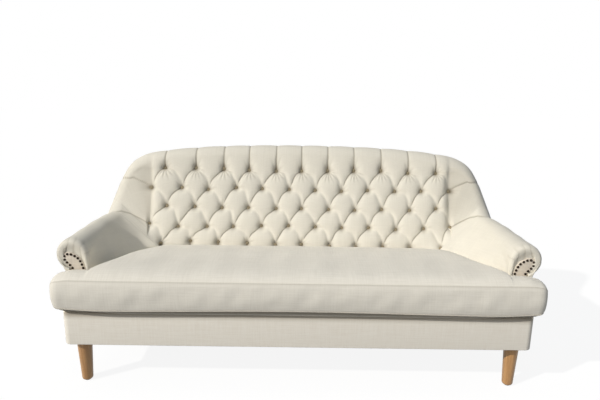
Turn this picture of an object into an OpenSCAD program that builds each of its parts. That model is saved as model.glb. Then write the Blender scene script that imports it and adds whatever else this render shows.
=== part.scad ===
// Three-seat sofa with rolled arms, a diamond-tufted curved back, one loose T-shaped seat
// cushion, an upholstered base band and four tapered wooden legs.
// Millimetres, +Z up, front towards -Y. The origin is on the floor under the middle of the
// outline. The right half is drawn, and the left half is its mirror image.

/* [Overall] */
// Width over the ears of the seat cushion
overall_w = 1978; // [1900:2:2060]
// Depth from the nose of the cushion to the back of the top roll
overall_d = 794; // [770:2:840]
// Height of the top roll at the middle of the back
back_h = 911; // [880:1:950]
// Height of the top of the arm rolls
arm_h = 606; // [595:1:630]

/* [Base] */
// Height of the legs
leg_h = 190; // [150:1:230]
// Width of the upholstered base band
base_w = 1896; // [1880:2:1930]
// How far the cushion's nose stands out in front of the base
nose_overhang = 29; // [15:1:45]
// Distance from the back of the top roll to the rear face of the base
rear_inset = 77; // [60:1:85]
// Height of the seat deck above the underside of the base
base_h = 141; // [130:1:155]
// Thickness of the cover and padding on the base rails
band_t = 8; // [5:1:12]
// Corner radius of the base band, seen from above
band_r = 28; // [20:1:40]
// Thickness of the base rails
rail_t = 28; // [22:1:34]
// Thickness of the pad on the seat deck
deck_pad_t = 15; // [10:1:18]
// Thickness of the deck's cloth and burlap
cloth_t = 2; // [1:0.5:2.5]
// Width of the cross rails under the springs
cross_rail_w = 45; // [30:1:60]
// Height of the cross rails
cross_rail_h = 60; // [45:1:70]
// Side of the corner blocks along the rails
block_side = 150; // [130:1:180]
// Height of the corner blocks
block_h = 40; // [30:1:60]

/* [Legs] */
// Distance from the base's side and front to the leg's centre line
leg_inset = 60; // [52:1:70]
// Diameter of a leg at its top
leg_top_d = 62; // [50:1:70]
// Diameter of a leg at its foot
leg_foot_d = 44; // [34:1:48]
// Radius of the rounded edge at the foot of a leg
foot_edge_r = 7; // [3:0.5:10]
// Side of the steel leg plates
plate_side = 70; // [66:1:80]
// Thickness of the steel leg plates
plate_t = 3; // [2:0.5:4]
// Diameter of the hanger bolt in each leg
bolt_d = 8; // [6:1:10]
// Length of the hanger bolt inside the leg
bolt_in_leg = 50; // [30:1:60]
// Diameter of the glide under each leg
glide_d = 26; // [18:1:30]
// Thickness of the glide that stands out below the leg
glide_t = 4; // [3:0.5:6]
// Diameter of the screws' heads and staples' crowns
screw_head_d = 9; // [7:0.5:10]

/* [Springs] */
// Number of zigzag seat springs
spring_n = 9; // [7:1:11]
// Diameter of the spring wire
wire_d = 3.6; // [3:0.2:4.2]
// Width of a spring's loops
spring_w = 64; // [62:1:76]
// Number of runs across a spring
spring_runs = 17; // [15:2:21]

/* [Upholstery] */
// Thickness of the padding on the arms and back
pad_t = 34; // [28:1:38]
// Radius of the arm rolls
arm_r = 67.5; // [62:0.5:72]
// Radius of the back's top roll
back_r = 64; // [60:0.5:70]
// Width between the arms at their front ends
seat_front_w = 1682; // [1640:2:1700]
// Width between the centre lines of the two arm rolls
roll_spread = 1844; // [1820:2:1850]
// Depth of the ears in front of the arms
ear_d = 135; // [120:1:150]
// Distance from the back of the top roll to the foot of the inside back
back_foot = 336; // [325:1:345]
// How far the inside back leans over the thickness of the seat
back_lean = 58; // [50:1:66]
// How far the inside arms lean over the thickness of the seat
arm_lean = 8; // [4:1:12]
// Height of the bottom row of buttons above the seat deck
seat_line = 135; // [125:1:145]
// Thickness of the outside back and arm panels
panel_t = 6; // [4:0.5:8]
// Thickness of the padding over the front board of an arm
front_pad_t = 10; // [6:1:14]
// Thickness of the covered facing on the front of an arm
facing_t = 4; // [3:0.5:6]

/* [Tufting] */
// Distance between the buttons in a row
tuft_pitch = 132; // [126:1:135]
// Height between the rows of buttons
row_rise = 83; // [78:1:86]
// Depth of the padding at a button
button_depth = 22; // [14:1:26]
// Depth of the folds between the buttons
fold_depth = 9; // [4:1:12]
// Depth of the pleats over the top roll
pleat_depth = 8; // [4:1:12]
// Diameter of a covered button
button_d = 20; // [16:1:24]

/* [Nail trim] */
// Diameter of a nail's head
nail_d = 11; // [9:0.5:12]
// Distance between the nails
nail_pitch = 15.5; // [13:0.5:18]
// Height of a nail's domed head
nail_h = 3; // [2:0.5:4]

/* [Seat cushion] */
// Height of the lower seam above the deck
low_seam = 22; // [16:1:28]
// Height of the upper seam above the deck
high_seam = 146; // [136:1:154]
// How far the top crowns above the upper seam
crown = 24; // [14:1:34]
// How far the sides bulge outside the seams
belly = 8; // [4:1:14]
// Clearance between the cushion and the arms and back
cushion_gap = 6; // [5.5:0.5:8]
// Diameter of the welt at the lower seam
welt_d = 7; // [5:0.5:9]
// Thickness of the cushion's cover
cover_t = 12; // [8:1:14]
// Length of the zipper in the rear of the cushion
zip_len = 1100; // [800:10:1200]
// Width of the zipper's tape
zip_w = 26; // [22:1:30]
// Thickness of the zipper's tape and teeth
zip_t = 1.2; // [1:0.1:1.4]

/* [Hidden] */

$fn = 48;
clear = 0.5;
seat_clear = 0.3;

// Planes of the base, from the floor up
base_z = leg_h;
deck_z = base_z + base_h;
rail_z = base_z + plate_t;
rail_top = deck_z - cloth_t - deck_pad_t;
rail_h = rail_top - rail_z;
base_front = -overall_d / 2 + nose_overhang;
base_rear = overall_d / 2 - rear_inset;
base_hw = base_w / 2;
rail_hw = base_hw - band_t;
rail_front = base_front + band_t;
rail_rear = base_rear - band_t;

// Frame lines of the upholstery
arm_front_y = -overall_d / 2 + ear_d;
wall_rear_y = overall_d / 2 - back_foot;
roll_hw = roll_spread / 2;
roll_rear_y = overall_d / 2 - back_r;
arm_roll_z = arm_h - arm_r;
back_roll_z = back_h - back_r;
seat_line_z = deck_z + seat_line;

// Stations along the right half, from the front of the arm to the middle of the back. Each row
// holds shares of the frame lines: the wall's foot across and back, its lean across and back,
// the roll's centre across, back and up, and which way the roll's tail turns, out and back.
STATIONS = [
    [1.000, 0.000, 0.90, 0.00, 1.000, 0.000, 0.000, 0.30, 0.00],
    [0.958, 0.237, 1.00, 0.04, 0.995, 0.155, 0.000, 0.30, 0.00],
    [0.918, 0.461, 1.10, 0.12, 0.989, 0.318, 0.000, 0.30, 0.00],
    [0.874, 0.673, 1.20, 0.20, 0.984, 0.489, 0.000, 0.30, 0.05],
    [0.826, 0.838, 0.90, 0.43, 0.973, 0.627, 0.000, 0.30, 0.25],
    [0.792, 0.913, 0.25, 0.69, 0.952, 0.736, 0.016, 0.28, 0.70],
    [0.763, 0.947, -0.12, 0.84, 0.943, 0.842, 0.171, 0.20, 1.20],
    [0.735, 0.972, -0.50, 0.91, 0.921, 0.891, 0.368, 0.10, 1.60],
    [0.700, 0.981, -0.50, 0.96, 0.889, 0.929, 0.600, 0.05, 1.60],
    [0.642, 0.991, -0.38, 0.98, 0.837, 0.953, 0.800, 0.00, 1.20],
    [0.551, 0.997, 0.00, 1.00, 0.722, 0.971, 0.897, 0.00, 0.70],
    [0.310, 1.000, 0.00, 1.00, 0.419, 0.993, 0.974, 0.00, 0.42],
    [0.000, 1.000, 0.00, 1.00, 0.000, 1.000, 1.000, 0.00, 0.35]
];
LAST = len(STATIONS) - 1;
KINK = 5;

// Shares for the foot of the outside panels, across and back, at the same stations
PANEL_FEET = [
    [1, 0], [1, 0.16], [1, 0.32], [1, 0.49], [1, 0.63], [0.998, 0.76], [0.985, 0.88],
    [0.950, 0.96], [0.893, 0.99], [0.820, 1], [0.710, 1], [0.410, 1], [0, 1]
];

function mix(a, b, f) = a + (b - a) * f;
function unit(v) = v / norm(v);

// A smooth curve through a list of values that starts at t = 0. The list goes on past its end
// as its own mirror image, with the signs in flip.
function knot(list, i, flip) =
    i < 0 ? 2 * list[0] - list[1] :
    i > len(list) - 1 ? [for (j = [0:len(flip) - 1]) flip[j] * list[2 * (len(list) - 1) - i][j]] :
    list[i];
function spline(list, flip, t) =
    let (n = len(list) - 1, c = min(max(t, 0), n), i = min(floor(c), n - 1), f = c - i)
    let (a = knot(list, i - 1, flip), b = list[i], d = list[i + 1], e = knot(list, i + 2, flip))
    0.5 * (2 * b + (d - a) * f + (2 * a - 5 * b + 4 * d - e) * f * f
        + (3 * b - a - 3 * d + e) * f * f * f);
FLIP = [-1, 1, -1, 1, -1, 1, 1, -1, 1];
function shares(t) = spline(STATIONS, FLIP, t);

// Places worked out from the shares at t
function foot_of(s) = [s[0] * seat_front_w / 2, mix(arm_front_y, wall_rear_y, s[1])];
STEP_T = 0.02;
function outward(t) =
    let (d = foot_of(shares(t + STEP_T)) - foot_of(shares(t - STEP_T)))
    unit([d[1], -d[0], 0]);
function wall_at(t, in = 0) =
    let (f = foot_of(shares(t))) [f[0], f[1], deck_z] + in * outward(t);
function lean_at(t, in = 0) =
    let (s = shares(t)) wall_at(t, in) + [s[2] * arm_lean, s[3] * back_lean, seat_line];
function roll_of(s) =
    [s[4] * roll_hw, mix(arm_front_y, roll_rear_y, s[5]), mix(arm_roll_z, back_roll_z, s[6])];
function roll_at(t) = roll_of(shares(t));
function radius_at(t) = mix(arm_r, back_r, min(max(t / LAST, 0), 1));
function along(t) =
    t > LAST - STEP_T ? [-1, 0, 0] :
    let (d = unit(roll_at(t + STEP_T) - roll_at(t - STEP_T)))
    unit(mix([0, 1, 0], d, min(t, 1)));

// The section at t, moved in from its face by in: the roll's centre, radius, two axes, first
// and last angle, and the point on the seat line
function frame_of(t, in) =
    let (c = roll_at(t), r = radius_at(t) - in, tan = along(t), b = lean_at(t, in))
    let (e = b - c, ex = unit(e - (e * tan) * tan), ey = cross(tan, ex))
    let (start = acos(min(r / norm(e), 1)))
    let (s = shares(t), down = [s[7], s[8], -1])
    let (turn = atan2(down * ey, down * ex), end = turn < start ? turn + 360 : turn)
    [c, r, ex, ey, start, end, b];
function on_roll(f, angle) = f[0] + f[1] * (cos(angle) * f[2] + sin(angle) * f[3]);

// One line across the upholstery as fractions q: 0 to 1 is the thickness of the seat, 1 to 2
// is the inside face, and 2 to 3 goes over the roll to its tail
function on_line(f, w, q) =
    q <= 1 ? mix(w, f[6], q) :
    q <= 2 ? mix(f[6], on_roll(f, f[4]), q - 1) :
    on_roll(f, mix(f[4], f[5], q - 2));
function skin(t, q, in) = on_line(frame_of(t, in), wall_at(t, in), q);
function flipped(p, side) = [side * p[0], p[1], p[2]];

// How far along the line at t a height z is reached
function q_at(t, z) =
    let (f = frame_of(t, 0), p = on_roll(f, f[4]))
    z <= p[2] ? 1 + (z - f[6][2]) / (p[2] - f[6][2]) :
    let (reach = norm([f[2][2], f[3][2]]), top = atan2(f[3][2], f[2][2]))
    let (angle = top - acos(min((z - f[0][2]) / (f[1] * reach), 1)))
    2 + (angle - f[4]) / (f[5] - f[4]);

// The side's mirror image
module right_left(right) {
    if (right) children();
    else mirror([1, 0, 0]) children();
}

// A closed shell between an outer grid of points and an inner one that holds every second
// column and every second row of it
COL_GRAIN = 2;
ROW_GRAIN = 2;
module shell(outer, inner) {
    n = len(outer) - 1;
    m = len(outer[0]) - 1;
    ni = n / COL_GRAIN;
    mi = m / ROW_GRAIN;
    first_inner = (n + 1) * (m + 1);
    pts = concat([for (row = outer) each row], [for (row = inner) each row]);
    function o(i, j) = i * (m + 1) + j;
    function k(i, j) = first_inner + i * (mi + 1) + j;
    sheet = [for (i = [0:n - 1]) for (j = [0:m - 1]) each
        ((i + j) % 2 == 0
            ? [[o(i, j), o(i, j + 1), o(i + 1, j + 1)], [o(i, j), o(i + 1, j + 1), o(i + 1, j)]]
            : [[o(i, j), o(i, j + 1), o(i + 1, j)], [o(i + 1, j), o(i, j + 1), o(i + 1, j + 1)]])];
    lining = [for (i = [0:ni - 1]) for (j = [0:mi - 1]) each
        [[k(i, j), k(i + 1, j + 1), k(i, j + 1)], [k(i, j), k(i + 1, j), k(i + 1, j + 1)]]];
    foot = [for (i = [0:ni - 1]) each concat(
        [for (g = [0:COL_GRAIN - 1]) let (c = COL_GRAIN * i + g) [o(c, 0), o(c + 1, 0), k(i, 0)]],
        [[o(COL_GRAIN * (i + 1), 0), k(i + 1, 0), k(i, 0)]])];
    tail = [for (i = [0:ni - 1]) each concat(
        [for (g = [0:COL_GRAIN - 1]) let (c = COL_GRAIN * i + g) [o(c + 1, m), o(c, m), k(i, mi)]],
        [[k(i + 1, mi), o(COL_GRAIN * (i + 1), m), k(i, mi)]])];
    start = [for (j = [0:mi - 1]) each concat(
        [for (g = [0:ROW_GRAIN - 1]) let (r = ROW_GRAIN * j + g) [o(0, r + 1), o(0, r), k(0, j)]],
        [[k(0, j + 1), o(0, ROW_GRAIN * (j + 1)), k(0, j)]])];
    end = [for (j = [0:mi - 1]) each concat(
        [for (g = [0:ROW_GRAIN - 1]) let (r = ROW_GRAIN * j + g) [o(n, r), o(n, r + 1), k(ni, j)]],
        [[o(n, ROW_GRAIN * (j + 1)), k(ni, j + 1), k(ni, j)]])];
    polyhedron(pts, concat(sheet, lining, foot, tail, start, end), convexity = 10);
}

// A closed tube through rings of points, all with the same count and the same turn
module tube(rings) {
    n = len(rings) - 1;
    m = len(rings[0]);
    function p(i, j) = i * m + j % m;
    walls = [for (i = [0:n - 1]) for (j = [0:m - 1]) each
        [[p(i, j), p(i, j + 1), p(i + 1, j + 1)], [p(i, j), p(i + 1, j + 1), p(i + 1, j)]]];
    caps = [for (j = [1:m - 2]) each
        [[p(0, 0), p(0, j + 1), p(0, j)], [p(n, 0), p(n, j), p(n, j + 1)]]];
    polyhedron([for (r = rings) each r], concat(walls, caps), convexity = 10);
}

// A flat outline, drawn in X and Z and thickened from y to y + t
module upright(y, t) translate([0, y + t, 0]) rotate([90, 0, 0]) linear_extrude(t) children();

// The outline of a rectangle with round corners, seen from above
CORNER_STEPS = 6;
function rounded(hw, y0, y1, r) =
    [for (c = [[1, -1, -90], [1, 1, 0], [-1, 1, 90], [-1, -1, 180]]) for (i = [0:CORNER_STEPS])
        let (a = c[2] + 90 * i / CORNER_STEPS)
        [c[0] * (hw - r) + r * cos(a), (c[1] < 0 ? y0 + r : y1 - r) + r * sin(a)]];

// Tufting. Columns a count half pitches from the middle, and rows b count up from the bottom
// row of buttons. Buttons sit where a + b is even.
TUFT_ROWS = 4;
EDGE = 10;
FAN = 6;
HALF_COLS = 2 * (EDGE + 1) + FAN;
SEAM = 0.004;
ROWS_BELOW = [0, 0.5];
ROLL_STEPS = 6;
ROW_N = len(ROWS_BELOW) + 2 * TUFT_ROWS + ROLL_STEPS;
T_SAMPLES = [for (i = [0:56]) KINK + i * (LAST - KINK) / 56];

function row_b(j) = (j - len(ROWS_BELOW)) / 2;
function row_q(t, j) =
    j < len(ROWS_BELOW) ? ROWS_BELOW[j] :
    row_b(j) <= TUFT_ROWS ? q_at(t, seat_line_z + row_b(j) * row_rise) :
    2 + (row_b(j) * 2 - 2 * TUFT_ROWS - 1) / (ROLL_STEPS - 1);
KINK_Q = [for (j = [0:ROW_N]) j < 2 ? ROWS_BELOW[j] :
    row_b(j) <= 2 ? 1 + row_b(j) / 2 : 2 + (row_b(j) - 2) / (row_b(ROW_N) - 2)];
// For each row, the place along the sofa against the distance from its middle
T_OF_X = [for (j = [0:ROW_N]) [for (i = [len(T_SAMPLES) - 1:-1:0])
    [skin(T_SAMPLES[i], row_q(T_SAMPLES[i], j), 0)[0], T_SAMPLES[i]]]];
function least_t(c) = KINK + SEAM + (HALF_COLS - c) * 0.03;
function col_t(c, j) = max(lookup(c * tuft_pitch / 4, T_OF_X[j]), least_t(c));
// The place and the fraction of column c and row j
LAST_COL = HALF_COLS - FAN;
function place(c, j) =
    c <= LAST_COL ? [col_t(c, j), row_q(col_t(c, j), j)] :
    let (t = col_t(LAST_COL, j), f = (c - LAST_COL) / FAN)
    [mix(t, KINK + SEAM, f), mix(row_q(t, j), KINK_Q[j], f)];

// Depth of the tufting at column a and row b, 0 on the crowns
function off(u) = abs(u - round(u));
function tuft(a, b) =
    let (u = off((a + b) / 2), v = off((a - b) / 2), rise = sin(180 * u) * sin(180 * v))
    fold_depth * pow(1 - rise, 2) + (button_depth - fold_depth) * exp(-(u * u + v * v) / 0.03);
function edge_col(b) = EDGE + 1 - abs(b % 2 - 1);
function depth(a, j) =
    let (b = row_b(j), edge = edge_col(min(max(b, 0), TUFT_ROWS)), past = max(a - edge, 0))
    b < 0 ? 0 :
    b > TUFT_ROWS ? (a > EDGE + 1 ? 0 : pleat_depth * pow(1 - abs(sin(90 * a)), 2)) :
    past == 0 ? tuft(a, b) :
    max(tuft(edge, b) * (1 - past), b == 1 || b == 3 ? pleat_depth : 0);

module tufted_back() color("#e4dfd0") {
    cols = [for (i = [-HALF_COLS:HALF_COLS]) i];
    outer = [for (i = cols) [for (j = [0:ROW_N])
        let (c = abs(i), p = place(c, j), f = c > LAST_COL ? 1 - (c - LAST_COL) / FAN : 1)
        flipped(skin(p[0], p[1], depth(c / 2, j) * max(f, j == ROW_N ? 0 : f)), i < 0 ? -1 : 1)]];
    inner = [for (i = [0:COL_GRAIN:2 * HALF_COLS]) [for (j = [0:ROW_GRAIN:ROW_N])
        let (c = abs(cols[i]), p = place(c, j))
        flipped(skin(p[0], p[1], pad_t), cols[i] < 0 ? -1 : 1)]];
    shell(outer, inner);
}

// The covered buttons, each on a shank that is tied down in its dimple
BUTTON_T = 7;
EDGE_LIFT = 8;
shank_r = 1.5;
button_seat = button_depth * (1 - 2.4 * button_d / tuft_pitch);
shank_end = button_depth * (1 - shank_r / (tuft_pitch / 4)) - seat_clear;
function deep_of(a, row) =
    abs(a) < edge_col(row) ? shank_end :
    row == 0 ? button_depth / 4 :
    row == 1 ? 0.88 * shank_end : shank_end;
function lift_of(a, row) =
    abs(a) < edge_col(row) ? 0 :
    row == 0 ? button_seat + 0.65 * BUTTON_T :
    row == 1 ? EDGE_LIFT : 0;
module back_buttons() color("#d8d2c2") {
    for (row = [0:TUFT_ROWS]) for (a = [-EDGE - 1:EDGE + 1])
        if ((a + row) % 2 == 0 && abs(a) <= edge_col(row)) {
            p = place(2 * abs(a), 2 * row + len(ROWS_BELOW));
            deep = deep_of(a, row);
            low = flipped(skin(p[0], p[1], deep), a < 0 ? -1 : 1);
            under = flipped(skin(p[0], p[1], pad_t), a < 0 ? -1 : 1);
            lift = unit(low - under);
            rise = deep - button_seat + lift_of(a, row);
            translate(low) rotate([0, acos(lift[2]), atan2(lift[1], lift[0])]) {
                cylinder(r = shank_r, h = rise, $fn = 8);
                translate([0, 0, rise]) dome(button_d / 2, BUTTON_T);
            }
        }
}

// A low dome, standing on the floor plane
module dome(r, h) cylinder(r1 = r, r2 = 0.6 * r, h = h);

// The padding on one arm, from its front to the pleat at the kink
ARM_COLS = 8;
ARM_Q = KINK_Q;
module arm_pad(right) color("#e6e2d6") right_left(right) {
    ts = [for (i = [ARM_COLS:-1:0]) i * (KINK - SEAM) / ARM_COLS];
    outer = [for (t = ts) [for (q = ARM_Q) skin(t, q, 0)]];
    inner = [for (i = [0:COL_GRAIN:ARM_COLS]) [for (j = [0:ROW_GRAIN:len(ARM_Q) - 1])
        skin(ts[i], ARM_Q[j], pad_t)]];
    shell(outer, inner);
}
module arm_pad_left() arm_pad(false);
module arm_pad_right() arm_pad(true);

// Frame of the base
WOOD = "#c9a26b";
rail_r = band_r - band_t;
module rail_x(y) translate([0, 0, rail_z]) linear_extrude(rail_h) intersection() {
    translate([-rail_hw, y]) square([2 * rail_hw, rail_t]);
    polygon(rounded(rail_hw, rail_front, rail_rear, rail_r));
}
module front_rail() color(WOOD) difference() { rail_x(rail_front); plate_screw_holes(); }
module rear_rail() color(WOOD) difference() { rail_x(rail_rear - rail_t); plate_screw_holes(); }
inner_front = rail_front + rail_t;
inner_rear = rail_rear - rail_t;
module side_rail(right) color(WOOD) right_left(right) difference() {
    translate([rail_hw - rail_t, inner_front, rail_z])
        cube([rail_t, inner_rear - inner_front, rail_h]);
    plate_screw_holes();
}
module left_side_rail() side_rail(false);
module right_side_rail() side_rail(true);
CROSS_X = 0.32;
module cross_rails() color(WOOD) for (side = [-1, 1])
    translate([side * CROSS_X * base_hw - cross_rail_w / 2, inner_front, rail_z])
        cube([cross_rail_w, inner_rear - inner_front, cross_rail_h]);

// The four leg places, and the blocks, plates, bolts and screws that hold the legs
leg_x = base_hw - leg_inset;
leg_front_y = base_front + leg_inset;
leg_rear_y = base_rear - leg_inset;
module at_legs() for (x = [-leg_x, leg_x]) for (y = [leg_front_y, leg_rear_y])
    translate([x, y, 0]) children();
bolt_hole_d = bolt_d + 0.4;
screw_d = screw_head_d / 2.2;
screw_len = 18;
SCREW_AT = plate_side / 2 - 7;
module at_screws() at_legs() for (x = [-SCREW_AT, SCREW_AT]) for (y = [-SCREW_AT, SCREW_AT])
    translate([x, y, 0]) children();
module plate_screw_holes()
    at_screws() translate([0, 0, base_z - 1]) cylinder(d = screw_d + 0.2, h = screw_len + 3, $fn = 16);
module bolt_holes(top)
    at_legs() translate([0, 0, base_z - 1]) cylinder(d = bolt_hole_d, h = top + 1 - base_z);
module corner_blocks() color("#b98d58") difference() {
    for (sx = [-1, 1]) for (sy = [-1, 1])
        translate([sx * (rail_hw - rail_t), sy < 0 ? inner_front : inner_rear, rail_z])
            linear_extrude(block_h)
                polygon([[0, 0], [-sx * block_side, 0], [0, -sy * block_side]]);
    plate_screw_holes();
    bolt_holes(rail_z + block_h + 1);
}
module leg_plates() color("#8d9094") difference() {
    at_legs() translate([-plate_side / 2, -plate_side / 2, base_z])
        cube([plate_side, plate_side, plate_t]);
    plate_screw_holes();
    bolt_holes(rail_z + 1);
}
module leg_plate_screws() color("#b6b9bd") at_screws() {
    translate([0, 0, base_z - 2]) cylinder(d = screw_head_d, h = 2, $fn = 24);
    translate([0, 0, base_z]) cylinder(d = screw_d, h = screw_len, $fn = 16);
}
module leg_bolts() color("#9a9da1") at_legs()
    translate([0, 0, base_z - bolt_in_leg]) cylinder(d = bolt_d, h = bolt_in_leg + plate_t + block_h - 2);
module leg_turning() {
    foot_r = leg_foot_d / 2;
    difference() {
        rotate_extrude() polygon(concat([[0, glide_t]],
            [for (i = [0:4]) let (a = 90 * i / 4)
                [foot_r - foot_edge_r * (1 - sin(a)), glide_t + foot_edge_r * (1 - cos(a))]],
            [[leg_top_d / 2, base_z], [0, base_z]]));
        translate([0, 0, base_z - bolt_in_leg - 1]) cylinder(d = bolt_hole_d, h = bolt_in_leg + 2);
        translate([0, 0, glide_t - 1]) cylinder(d = glide_pin_d + 0.2, h = glide_pin_l + 2);
    }
}
module leg(x, y) color("#cfa468") translate([x, y, 0]) leg_turning();
module leg_front_left() leg(-leg_x, leg_front_y);
module leg_front_right() leg(leg_x, leg_front_y);
module leg_rear_left() leg(-leg_x, leg_rear_y);
module leg_rear_right() leg(leg_x, leg_rear_y);
glide_pin_d = 5;
glide_pin_l = 12;
module leg_glides() color("#3b3936") at_legs() {
    cylinder(d = glide_d, h = glide_t);
    translate([0, 0, glide_t]) cylinder(d = glide_pin_d, h = glide_pin_l, $fn = 24);
}

// Zigzag springs from the front rail to the rear rail, and the clips that hold their ends
spring_z = rail_top - 8;
clip_l = 12;
spring_y0 = inner_front + clip_l / 2;
spring_len = inner_rear - inner_front - clip_l;
spring_gap = spring_len / (spring_runs - 1);
spring_pitch = (2 * base_hw - 300) / (spring_n - 1);
module at_springs() for (i = [0:spring_n - 1])
    translate([(i - (spring_n - 1) / 2) * spring_pitch, spring_y0, spring_z]) children();
BEND_STEPS = 4;
spring_half = (spring_w - spring_gap) / 2;
// Each point of a spring's bends, with the way to the wire's left edge
function bend(k) = let (side = k % 2 == 0 ? 1 : -1)
    [for (i = [0:BEND_STEPS]) let (a = -90 + 180 * i / BEND_STEPS, way = [side * cos(a), sin(a)])
        [[side * spring_half, (k + 0.5) * spring_gap] + spring_gap / 2 * way, -side * way]];
SPRING_LINE = concat([[[-spring_half, 0], [0, 1]]], [for (k = [0:spring_runs - 2]) each bend(k)],
    [[[spring_half, (spring_runs - 1) * spring_gap], [0, 1]]]);
module spring() translate([0, 0, -wire_d / 2]) linear_extrude(wire_d) polygon(concat(
    [for (p = SPRING_LINE) p[0] + wire_d / 2 * p[1]],
    [for (i = [len(SPRING_LINE) - 1:-1:0]) SPRING_LINE[i][0] - wire_d / 2 * SPRING_LINE[i][1]]));
module seat_springs() color("#a3a6a9") at_springs() spring();
clip_wall = 1.5;
clip_w = 2 * spring_half - 2 * clear;
module clip() difference() {
    hole = wire_d + seat_clear;
    translate([-clip_w / 2, -clip_l / 2, -hole / 2 - clip_wall])
        cube([clip_w, clip_l, hole + 2 * clip_wall]);
    translate([-clip_w / 2 - 1, -hole / 2, -hole / 2]) cube([clip_w + 2, hole, hole]);
}
module spring_clips() color("#77797c") at_springs() {
    clip();
    translate([0, spring_len, 0]) clip();
}

// The deck: burlap, pad and cover, cut to the seat's plan
PLAN_T = [for (i = [0:2 * LAST]) i / 2];
deck_under = 20;
function deck_plan(gap) =
    let (hw = rail_hw - gap, r = rail_r - gap, y0 = rail_front + gap)
    let (right = concat(
        [for (i = [0:CORNER_STEPS]) let (a = -90 + 90 * i / CORNER_STEPS)
            [hw - r + r * cos(a), y0 + r + r * sin(a)]],
        [[hw, arm_front_y - clear]],
        [for (t = PLAN_T) let (w = wall_at(t, deck_under))
            [w[0], t == 0 ? arm_front_y - clear : max(w[1], arm_front_y)]]))
    concat(right, [for (i = [len(right) - 2:-1:0]) [-right[i][0], right[i][1]]]);
module deck_sheet(z, t) translate([0, 0, z]) linear_extrude(t) polygon(deck_plan(clear));
module deck_burlap() color("#a88c5f") deck_sheet(rail_top, cloth_t / 2);
module deck_pad() color("#e9e6dc") deck_sheet(rail_top + cloth_t / 2, deck_pad_t);
module deck_cover() color("#d6d0c0") deck_sheet(rail_top + cloth_t / 2 + deck_pad_t, cloth_t / 2);
module base_band() color("#ddd2bd") translate([0, 0, base_z]) linear_extrude(base_h) difference() {
    polygon(rounded(base_hw, base_front, base_rear, band_r));
    polygon(rounded(rail_hw, rail_front, rail_rear, rail_r));
}
dust_t = 1;
dust_in = 4;
module dust_cover() color("#2f2f31") translate([0, 0, rail_z - dust_t]) linear_extrude(dust_t)
    difference() {
        polygon(rounded(rail_hw - dust_in, rail_front + dust_in, rail_rear - dust_in, rail_r - dust_in));
        at_legs() square(plate_side + 2 * clear, center = true);
    }

// The frame of the back and arms
rib_in = pad_t + 6;
roll_bar = 26;
RIB_T = 18;
RIB_X = [-0.42, -0.21, 0, 0.21, 0.42];
panel_in = 1;
T_OF_FOOT = [for (i = [48:-1:0]) let (t = i / 4) [foot_of(shares(t))[0], t]];
T_OF_ROLL = [for (i = [48:-1:0]) let (t = i / 4) [roll_at(t)[0], t]];
tack_h = 40;
tack_y = wall_rear_y + pad_t + back_lean * tack_h / seat_line + 4;
function yz(v) = [v[1], v[2]];
function rib_outline(x) =
    let (c = yz(roll_at(lookup(abs(x) + RIB_T / 2, T_OF_ROLL))))
    let (b = yz(lean_at(lookup(abs(x), T_OF_FOOT), rib_in)))
    let (r = back_r - rib_in, e = b - c, ex = unit(e), ey = [ex[1], -ex[0]])
    let (start = acos(r / norm(e)), n = cos(start) * ex + sin(start) * ey)
    let (h = roll_bar / 2, waist = c + r * n + 50 * unit(b - (c + r * n)))
    let (rear = base_rear - panel_in - panel_t - 1.5)
    [[rear, rail_top], [rear, deck_z], [c[0] + h / 2, c[1] - 60], [c[0] + h / 2, c[1] - h - clear],
        [c[0] - h, c[1] - h - clear], waist, b, [tack_y, deck_z + tack_h + clear],
        [tack_y + RIB_T + clear, deck_z + tack_h + clear], [tack_y + RIB_T + clear, deck_z + clear],
        [inner_rear, deck_z + clear], [inner_rear, rail_top]];
module back_ribs() color(WOOD) for (share = RIB_X) let (x = share * base_hw)
    translate([x - RIB_T / 2, 0, 0]) rotate([90, 0, 90]) linear_extrude(RIB_T)
        polygon(rib_outline(x));
TOP_RAIL_X = 0.43 * base_hw;
function roll_z(x) = roll_at(lookup(abs(x), T_OF_ROLL))[2];
module back_top_rail() color(WOOD) {
    xs = [for (i = [-6:6]) i * TOP_RAIL_X / 6];
    y = roll_at(lookup(TOP_RAIL_X / 2, T_OF_ROLL))[1];
    upright(y - roll_bar / 2, roll_bar) polygon(concat(
        [for (x = xs) [x, roll_z(x) - roll_bar / 2]],
        [for (i = [len(xs) - 1:-1:0]) [xs[i], roll_z(xs[i]) + roll_bar / 2]]));
}
TACK_X = 0.62 * base_hw;
module back_tack_rail() color(WOOD) translate([-TACK_X, tack_y, deck_z])
    cube([2 * TACK_X, RIB_T, tack_h]);

// Bars that follow the middle of the roll
function bar_ring(t, w) =
    let (way = along(t), side = unit([way[1], -way[0], 0]), up = cross(side, way), h = w / 2)
    [for (c = [[-1, -1], [1, -1], [1, 1], [-1, 1]]) roll_at(t) + h * (c[0] * side + c[1] * up)];
module roll_rail(t0, t1, n, w) tube([for (i = [0:n]) bar_ring(mix(t0, t1, i / n), w)]);
shoulder_bar = 8;
BOARD_T = 18;
function t_of_roll_y(y) = lookup(y, [for (i = [0:40]) let (t = i / 5) [roll_at(t)[1], t]]);
T_RAIL_START = t_of_roll_y(arm_front_y + BOARD_T + clear);
T_RAIL_END = 4.2;
T_TOP = lookup(TOP_RAIL_X + clear, T_OF_ROLL);
module arm_rail(right) color(WOOD) right_left(right)
    roll_rail(T_RAIL_START, T_RAIL_END - SEAM, 8, roll_bar);
module arm_rail_left() arm_rail(false);
module arm_rail_right() arm_rail(true);
module shoulder_rail(right) color("#6d6f72") right_left(right)
    roll_rail(T_RAIL_END + SEAM, T_TOP, 16, shoulder_bar);
module shoulder_rail_left() shoulder_rail(false);
module shoulder_rail_right() shoulder_rail(true);

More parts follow.
